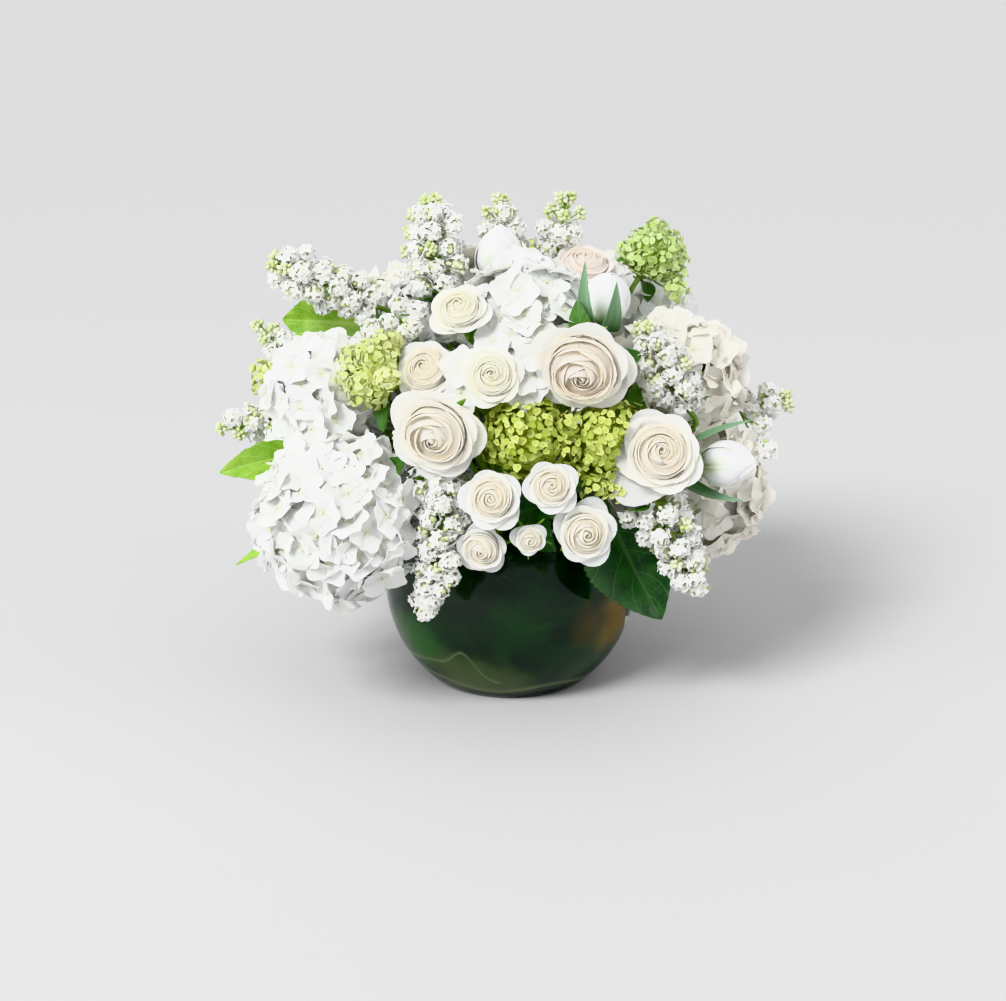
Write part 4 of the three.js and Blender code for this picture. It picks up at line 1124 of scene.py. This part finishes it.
LEAF_TONES["blade"] = blade_finish()
LEAVES = {
    "leaf_low_right": ((70, -78, 185), (74, -86, 152), (117, -92, 78), 72, (0.3, -1, 0.3), 0.35, "dark"),
    "leaf_left_upper": ((-80, 30, 184), (-160, -50, 206), (-224, -70, 190),
                        28, (-0.1, -1, 0.2), 0.58, "bright"),
    "leaf_left_top": ((-82, -15, 291), (-130, 18, 288), (-180, 10, 292), 60, (0, -1, 0.15), 0.3, "bright"),
    "leaf_left_lower": ((-64, 24, 177), (-112, -6, 148), (-216, -56, 110),
                        34, (-0.6, -0.4, 1), 0.4, "bright"),
    "leaf_under_spray": ((30, -88, 170), (5, -122, 176), (-20, -124, 170), 32, (0, -1, 0.2), 0, "dark"),
    "leaf_under_bud": ((12, -86, 168), (14, -118, 158), (34, -126, 146), 30, (0, -1, 0.2), 0, "dark"),
    "leaf_crown_right": ((44, 22, 262), (66, 8, 268), (76, -46, 250), 40, (0, 0, 1), 0.1, "middle"),
    "leaf_crown_back": ((0, 24, 246), (22, 44, 262), (56, 50, 256), 40, (0, 0, 1), 0.1, "middle"),
    "leaf_crown_middle": ((-2, 20, 240), (12, 56, 262), (14, 98, 256), 44, (0, 0, 1), 0.1, "middle"),
    "leaf_crown_left": ((-54, -8, 240), (-64, -28, 262), (-54, -60, 260), 40, (0, 0, 1), 0.1, "middle"),
    "leaf_back": ((45, 49, 205), (48, 100, 140), (70, 172, 88), 36, (0.4, 1, 0.5), 0.5, "middle"),
    "tulip_leaf_right_upper": ((121, -64, 194), (138, -84, 226), (180, -98, 240),
                               13, (0.2, -0.4, 1), 0, "blade"),
    "tulip_leaf_right_lower": ((123, -65, 194), (142, -92, 176), (174, -114, 182),
                               13, (0.2, -0.6, 1), 0, "blade"),
    "tulip_leaf_front_left": ((68, -59, 299), (50, -110, 305), (54, -108, 364),
                              15, (-0.3, -1, 0.2), 0, "blade"),
    "tulip_leaf_front_right": ((68, -59, 299), (76, -104, 304), (77, -112, 349),
                               16, (0.2, -1, 0.2), 0, "blade"),
}


def leaf(name, start, by, tip, width, face, stalk, tone):
    start, by, tip, face = Vector(start) * MM, Vector(by) * MM, Vector(tip) * MM, Vector(face)
    toothed = tone != "blade"
    form = new_form()

    def bend(s, v):
        rib = start * (1 - v) ** 2 + by * 2 * v * (1 - v) + tip * v * v
        ahead = ((by - start) * (1 - v) + (tip - by) * v).normalized()
        across = ahead.cross(face).normalized()
        raised = across.cross(ahead)
        grown = max(v - stalk, 0) / (1 - stalk)
        half = width / 2 * MM * math.sin(math.pi * grown ** LEAF_BELLY) ** 0.8
        tooth = 1 + (TOOTH_DEPTH * (grown * TEETH % 1) if toothed and abs(s) > TOOTH_BAND else 0)
        half = max(half * tooth, 1.2 * MM if v < 0.5 else 0.3 * MM)
        furrow = FURROW_DEPTH * abs(math.sin(math.pi * SIDE_VEINS * (grown - 0.21 * abs(s))))
        furrow *= min(abs(s) * 3, 1) * (toothed and half > 3 * MM)
        return rib + across * half * s + raised * (abs(s) * half * 0.2 + furrow)

    add_sheet(form, 10 if toothed else 6, 54 if toothed else 14, bend, 0.5)
    thing = show(name, form, [LEAF_TONES[tone]], None, "stems_and_leaves")
    return with_thickness(thing, 0 if toothed else 1, LEAF_THICKNESS)


for name, row in LEAVES.items():
    leaf(name, *row)
print("leaves:", len(LEAVES))

# %% [markdown]
# Between the big blooms a florist tucks what comes off their stems: side shoots of lilac and
# viburnum, single florets, and the leaves that grow just under each head. They close the gaps, so
# that no stem shows. The shoots are listed by kind and by the bloom whose stem they grow from, with
# the place of each. The leaves follow a rule: they stand round the root of a bloom, as long as its
# neighbours allow.

# %% Side shoots
SHOOTS = [
    ("lilac", "lilac_left", [(-93, -50, 304), (-80, -58, 297), (-107, -44, 297), (-70, -48, 312),
        (-86, -42, 316)]),
    ("lilac", "lilac_front", [(-62, -106, 206), (-75, -100, 216), (-68, -114, 190), (-84, -92, 206),
        (-80, -92, 226)]),
    ("lilac", "lilac_left", [(-74, -70, 306)]),
    ("lilac", "lilac_right_low", [(89, -112, 168), (100, -114, 180)]),
    ("lilac", "lilac_right", [(108, -92, 262)]),
    ("lilac", "lilac_right_low", [(124, -66, 196)]),
    ("lilac", "lilac_far_right", [(198, -14, 211), (203, -20, 194)]),
    ("viburnum", "viburnum_middle", [(42, -128, 224), (43, -123, 243), (42, -130, 207), (8, -130, 212),
        (62, -128, 196), (78, -122, 194), (-14, -122, 222)]),
    ("floret", "hydrangea_top", [(13, -112, 280), (17, -106, 294), (10, -116, 268), (-37, -110, 264),
        (-37, -104, 283), (-14, -96, 302), (0, -98, 296)]),
    ("floret", "hydrangea_left", [(-174, -133, 149)]),
    ("floret", "hydrangea_left_high", [(-150, -92, 231)]),
    ("shell", "hydrangea_right", [(172, -30, 207), (185, -26, 199)]),
    ("budding", "viburnum_top_right", [(131, 28, 312)]),
]
SHOOT_ORIGIN = Vector((0, 0, 200)) * MM
SHOOT_LEAN = Vector((0, -0.5, 0.1))
SHOOT_FINISHES = {
    "lilac": (LILAC_WHITE, "lilac_florets"),
    "viburnum": (VIBURNUM_TONES["lime"], "viburnum_florets"),
    "budding": (VIBURNUM_TONES["budding"], "viburnum_florets"),
    "floret": (HYDRANGEA_TONES["white"], "hydrangea_florets"),
    "shell": (HYDRANGEA_TONES["shell"], "hydrangea_florets"),
}


def side_shoot(number, kind, place, parent):
    draw = random.Random(f"side shoot {number}")
    form = new_form()
    heart = Vector(place) * MM
    out = (heart - SHOOT_ORIGIN).normalized()
    out = (out + SHOOT_LEAN).normalized()
    joint = min(stem_lines[parent], key=lambda point: (point - heart).length)
    if kind == "lilac":
        lilac_cluster(form, heart, out, False, draw)
    elif kind in ("viburnum", "budding"):
        viburnum_tuft(form, heart, out, draw)
    else:
        stamp(form, draw.choice(full_florets), looking(heart, out, draw.uniform(0, FULL_TURN), 0.95), 0.1)
    bent = joint.lerp(heart, 0.6) - out * 4 * MM
    stalk = [(joint, 0.9 * MM), (bent, 0.8 * MM), (heart, 0.6 * MM)]
    stamp(form, tubes([stalk]), Matrix.Identity(4), 0.5, STALKS)
    finish, slot = SHOOT_FINISHES[kind]
    return show(f"side_shoot_{number}", form, [finish, LILAC_BUD, STALK_GREEN], None, slot)


shoots = [(kind, place, parent) for kind, parent, places in SHOOTS for place in places]
for number, shoot in enumerate(shoots, 1):
    side_shoot(number, *shoot)
print("side shoots:", len(shoots))

# %% Leaves under the heads
COLLARS = {"hydrangea": 4, "viburnum": 2, "rose": 3, "lilac": 2}
COLLAR_CLEARANCE = 3 * MM
COLLAR_LONGEST, COLLAR_SHORTEST = 62 * MM, 18 * MM
COLLAR_STALK = 0.12


def collar_leaf(form, bloom, turn, draw):
    """A leaf that leaves the stem just below a bloom and runs out under it."""
    side = Matrix.Rotation(turn, 3, bloom.axis) @ bloom.axis.orthogonal().normalized()
    start = bloom.root - bloom.axis * draw.uniform(3, 9) * MM
    out = (side + bloom.axis * draw.uniform(-0.15, 0.25)).normalized()
    most = min(bloom.wide * draw.uniform(0.95, 1.2), COLLAR_LONGEST)
    length = min(most, free_reach(bloom, start, out, most, COLLAR_CLEARANCE))
    width = length * draw.uniform(0.42, 0.52)
    if length < COLLAR_SHORTEST:
        return 0

    def bend(s, v):
        across = bloom.axis.cross(out).normalized()
        grown = max(v - COLLAR_STALK, 0) / (1 - COLLAR_STALK)
        half = width / 2 * math.sin(math.pi * grown * 0.98) ** 0.8
        half = max(half, 0.8 * MM if v < 0.5 else 0.3 * MM)
        droop = bloom.axis * length * (0.16 * math.sin(math.pi * v) - 0.12 * v * v)
        return start + out * length * v + droop + across * half * s + bloom.axis * abs(s) * half * 0.25

    add_sheet(form, 4, 9, bend, draw.random())
    return 1


def collar(bloom):
    draw = random.Random(f"collar {bloom.name}")
    form = new_form()
    leaves = 0
    for k in range(COLLARS[bloom.kind]):
        turn = k * 2 * math.pi / COLLARS[bloom.kind] + draw.uniform(-0.4, 0.4)
        leaves += collar_leaf(form, bloom, turn, draw)
    if leaves:
        thing = show(bloom.name + "_leaves", form, [LEAF_TONES["middle"]], None, "stems_and_leaves")
        with_thickness(thing, 0, LEAF_THICKNESS)
    else:
        form.free()
    return leaves


print("leaves under the heads:", sum(collar(bloom) for bloom in blooms if bloom.kind in COLLARS))

# %% [markdown]
# The bowl is a globe of clear glass with an even wall, a thicker floor and a fire-rounded lip. Its
# profile, outside, lip and inside, is drawn once and spun about the axis.

# %% Bowl and water
BOWL_RADIUS = 101.5 * MM
BOWL_WALL = 3 * MM
BOWL_FLOOR = 5 * MM
MOUTH_Z = 158 * MM
WATER_LEVEL = 124 * MM
WATER_GAP = 0.1 * MM
LIP_STEPS = 8
SPIN_STEPS = 80


def arc(radius, low, high, steps):
    """Points of a globe's outline from one height to another."""
    start = math.asin((low - BOWL_CENTRE.z) / radius)
    end = math.asin((high - BOWL_CENTRE.z) / radius)
    angles = [start + (end - start) * i / steps for i in range(steps + 1)]
    return [Vector((radius * math.cos(a), 0, BOWL_CENTRE.z + radius * math.sin(a))) for a in angles]


def spun(profile):
    """A turned form. The profile begins and ends on the axis."""
    form = new_form()
    verts = [form.verts.new(point) for point in profile]
    edges = [form.edges.new(pair) for pair in zip(verts, verts[1:])]
    bmesh.ops.spin(form, geom=verts + edges, axis=UP, cent=(0, 0, 0), dvec=(0, 0, 0),
                   angle=2 * math.pi, steps=SPIN_STEPS, use_merge=True)
    bmesh.ops.remove_doubles(form, verts=form.verts, dist=1e-6)
    bmesh.ops.recalc_face_normals(form, faces=form.faces)
    for face in form.faces:
        face.smooth = True
    return form


def clear_finish(name, colour, ior):
    finish = Finish(name)
    return finish.surface(colour, 0.0, Transmission_Weight=1.0, IOR=ior)


inner_radius = BOWL_RADIUS - BOWL_WALL
outside = arc(BOWL_RADIUS, 0.0, MOUTH_Z - 1 * MM, 28)
inside = arc(inner_radius, BOWL_FLOOR, MOUTH_Z - 1 * MM, 28)[::-1]
lip_centre = (outside[-1] + inside[0]) / 2
lip_radius = (outside[-1] - inside[0]).length / 2
lip = [lip_centre + Vector((math.cos(a), 0, math.sin(a))) * lip_radius
       for a in [math.pi * i / LIP_STEPS for i in range(1, LIP_STEPS)]]
profile = [Vector((0, 0, 0)), *outside, *lip, *inside, Vector((0, 0, BOWL_FLOOR))]
glass = clear_finish("bowl_glass", (0.90, 0.97, 0.93), 1.3)
show("bowl_glass", spun(profile), [glass], "bowl", "bowl_glass")

wet = arc(inner_radius + WATER_GAP, BOWL_FLOOR - WATER_GAP, WATER_LEVEL, 24)
surface = [Vector((wet[-1].x - 2 * MM, 0, WATER_LEVEL - 0.7 * MM)), Vector((0, 0, WATER_LEVEL - 0.8 * MM))]
water_profile = [Vector((0, 0, BOWL_FLOOR - WATER_GAP)), *wet, *surface]
clear_water = clear_finish("bowl_water", (0.96, 0.99, 0.97), 1.33)
show("bowl_water", spun(water_profile), [clear_water], "water", "water")
print("bowl:", [round(s / MM) for s in bpy.data.objects["bowl_glass"].dimensions], "mm")

# %% [markdown]
# Broad leaves line the glass, so that the stems don't show. They lie against the inside and overlap at the
# front. They are dark, with fine parallel veins and a paler lower edge, and the front one's edge rises in a
# wave. The lining turns olive low down and amber and dark brown at the right, and a lighter green patch at
# the left is painted light: each such patch is a soft ball in Object coordinates, with noise in its edge.

# %% Lining leaves
BOWL_COLUMNS = 24
LINING_THICKNESS = 0.6 * MM
LININGS = {
    "bowl_leaf_front": [(-8, 8.5, 30, 136, 1.0, 16), (-4, 9, 11, 134, 2.4, 0)],
    "bowl_leaf_back": [(4.8, 11.4, 38, 134, 1.8, 0)],
}
WAVE_PLACE, WAVE_WIDTH, WAVE_FALL = 0.58, 0.166, 2.0
# Patches of colour on the lining: amber and dark brown at the right, olive low down, and a lighter green one
# at the left that is painted light.
LINING_PATCHES_AND_GLOW = [
    ((82, -48, 64), 34, (0.42, 0.21, 0.02)),
    ((60, -70, 68), 28, (0.13, 0.08, 0.01)),
    ((-78, -52, 46), 36, (0.05, 0.22, 0.02)),
    ((-20, -62, 20), 46, (0.16, 0.20, 0.07)),
]


def lining_finish():
    finish = Finish("lining_leaf")
    across, along = finish.petal_place()
    lines = finish.veins(along, across, 60.0, 3.0)
    place = finish.node("ShaderNodeTexCoord").outputs["Object"]
    mottle = finish.node("ShaderNodeTexNoise", Vector=place, Scale=22.0, Detail=4.0).outputs[0]
    tone = finish.mixed(finish.ranged(mottle, 0.35, 0.7), (0.002, 0.014, 0.003), (0.006, 0.055, 0.007))
    # Each patch mixes its colour in; the lighter green one at the left is painted light.
    for spot, reach, colour in LINING_PATCHES_AND_GLOW:
        far = finish.node("ShaderNodeVectorMath", {"operation": "DISTANCE"}, i0=place, i1=Vector(spot) * MM)
        edge = finish.math("SUBTRACT", far.outputs["Value"], finish.math("MULTIPLY", mottle, 30 * MM))
        tone = finish.mixed(finish.ranged(edge, (reach - 15) * MM, (reach - 40) * MM), tone, colour)
    lines_share = finish.math("MULTIPLY", finish.ranged(lines, 0.5, 0.7), 0.25)
    tone = finish.mixed(lines_share, tone, (0.03, 0.12, 0.02))
    rim = finish.ranged(along, 0.045, 0.0)
    tone = finish.mixed(finish.math("MULTIPLY", rim, 0.8), tone, (0.34, 0.40, 0.17))
    return finish.surface(tone, 0.45, lines, strength=0.1, distance=0.0003, Specular_IOR_Level=0.12)


LINING_LEAF = lining_finish()


def lining(form, first, columns, low, high, depth, wave):
    """One leaf round the inside of the glass, as deep inside it as depth says, in millimetres."""

    def bend(s, v):
        slant = 0.9 * s * abs(s) * math.sin(2.4 * v + first)
        angle = (first + columns * (s + 1) / 2 + slant) / BOWL_COLUMNS * 2 * math.pi
        close = abs(s) ** 3
        raised = wave * math.exp(-((s - WAVE_PLACE) / WAVE_WIDTH) ** 2)
        raised -= wave * WAVE_FALL * max(s - WAVE_PLACE, 0)
        bottom = (low + 5 * close + 3 * math.sin(columns * s * 0.65) + raised) * MM
        top = (high - 30 * close) * MM
        z = bottom + (top - bottom) * v
        ripple = 0.25 * MM * math.sin(26 * s + 5 * v)
        flat = math.sqrt((inner_radius - depth * MM + ripple) ** 2 - (z - BOWL_CENTRE.z) ** 2)
        return Vector((flat * math.sin(angle), -flat * math.cos(angle), z))

    add_sheet(form, round(columns * 6), 22, bend, 0.5)


def floor_leaf(form):
    """The leaf under the stems: it covers the floor of the bowl and turns up where the glass does."""
    def bend(s, v):
        z = (BOWL_FLOOR + 1.5 * MM) + 24 * MM * max((v - 0.6) / 0.4, 0) ** 1.3
        edge = math.sqrt((inner_radius - 3.5 * MM) ** 2 - (z - BOWL_CENTRE.z) ** 2)
        flat = edge * min(v / 0.6, 1) + 0.4 * MM
        angle = CLOSED_HALF_TURN * s
        ripple = 0.5 * MM * math.sin(9 * s + 6 * v) * v
        return Vector((flat * math.sin(angle), flat * math.cos(angle), z + ripple))

    add_sheet(form, 60, 14, bend, 0.5)


for name, leaves in LININGS.items():
    form = new_form()
    for row in leaves:
        lining(form, *row)
    if name == "bowl_leaf_front":
        floor_leaf(form)
    with_thickness(show(name + "_blade", form, [LINING_LEAF], name, "lining_leaf"), 0, LINING_THICKNESS)
print("lining leaves:", sum(len(leaves) for leaves in LININGS.values()))

# %% [markdown]
# White flowers need a floor and a light that leave room above and below them: a pale grey floor,
# one broad sun through a diffuser from the upper left, an even sky, and a soft box on each side,
# which draws the edges of the glass.

# %% Floor and lights
FLOOR_HALF_WIDTH = 30
floor_form = bmesh.new()
bmesh.ops.create_grid(floor_form, x_segments=1, y_segments=1, size=FLOOR_HALF_WIDTH)
floor_mesh = bpy.data.meshes.new("floor")
floor_form.to_mesh(floor_mesh)
floor_form.free()
floor = bpy.data.objects.new("floor", floor_mesh)
bpy.context.scene.collection.objects.link(floor)
floor_mesh.materials.append(Finish("floor").surface((0.52, 0.52, 0.52), 0.7, Specular_IOR_Level=0.2))


def lamp(name, kind, place, energy, **settings):
    data = bpy.data.lights.new(name, kind)
    data.energy = energy
    for key, value in settings.items():
        setattr(data, key, value)
    light = bpy.data.objects.new(name, data)
    bpy.context.scene.collection.objects.link(light)
    light.location = place
    light.rotation_euler = (Vector((0, 0, 0.2)) - Vector(place)).to_track_quat("-Z", "Y").to_euler()


lamp("key", "SUN", (-1.3, -1.8, 2.2), 3.1, angle=math.radians(22))
lamp("left_box", "AREA", (-1.6, -0.9, 0.9), 10, size=0.7)
lamp("right_box", "AREA", (1.7, -0.7, 0.8), 6, size=0.7)

world = bpy.data.worlds.new("studio")
bpy.context.scene.world = world
world.use_nodes = True
world.node_tree.nodes["Background"].inputs["Color"].default_value = (0.98, 0.985, 1, 1)
world.node_tree.nodes["Background"].inputs["Strength"].default_value = 0.82
bpy.context.scene.view_settings.view_transform = "Khronos PBR Neutral"
print("lights: 3")
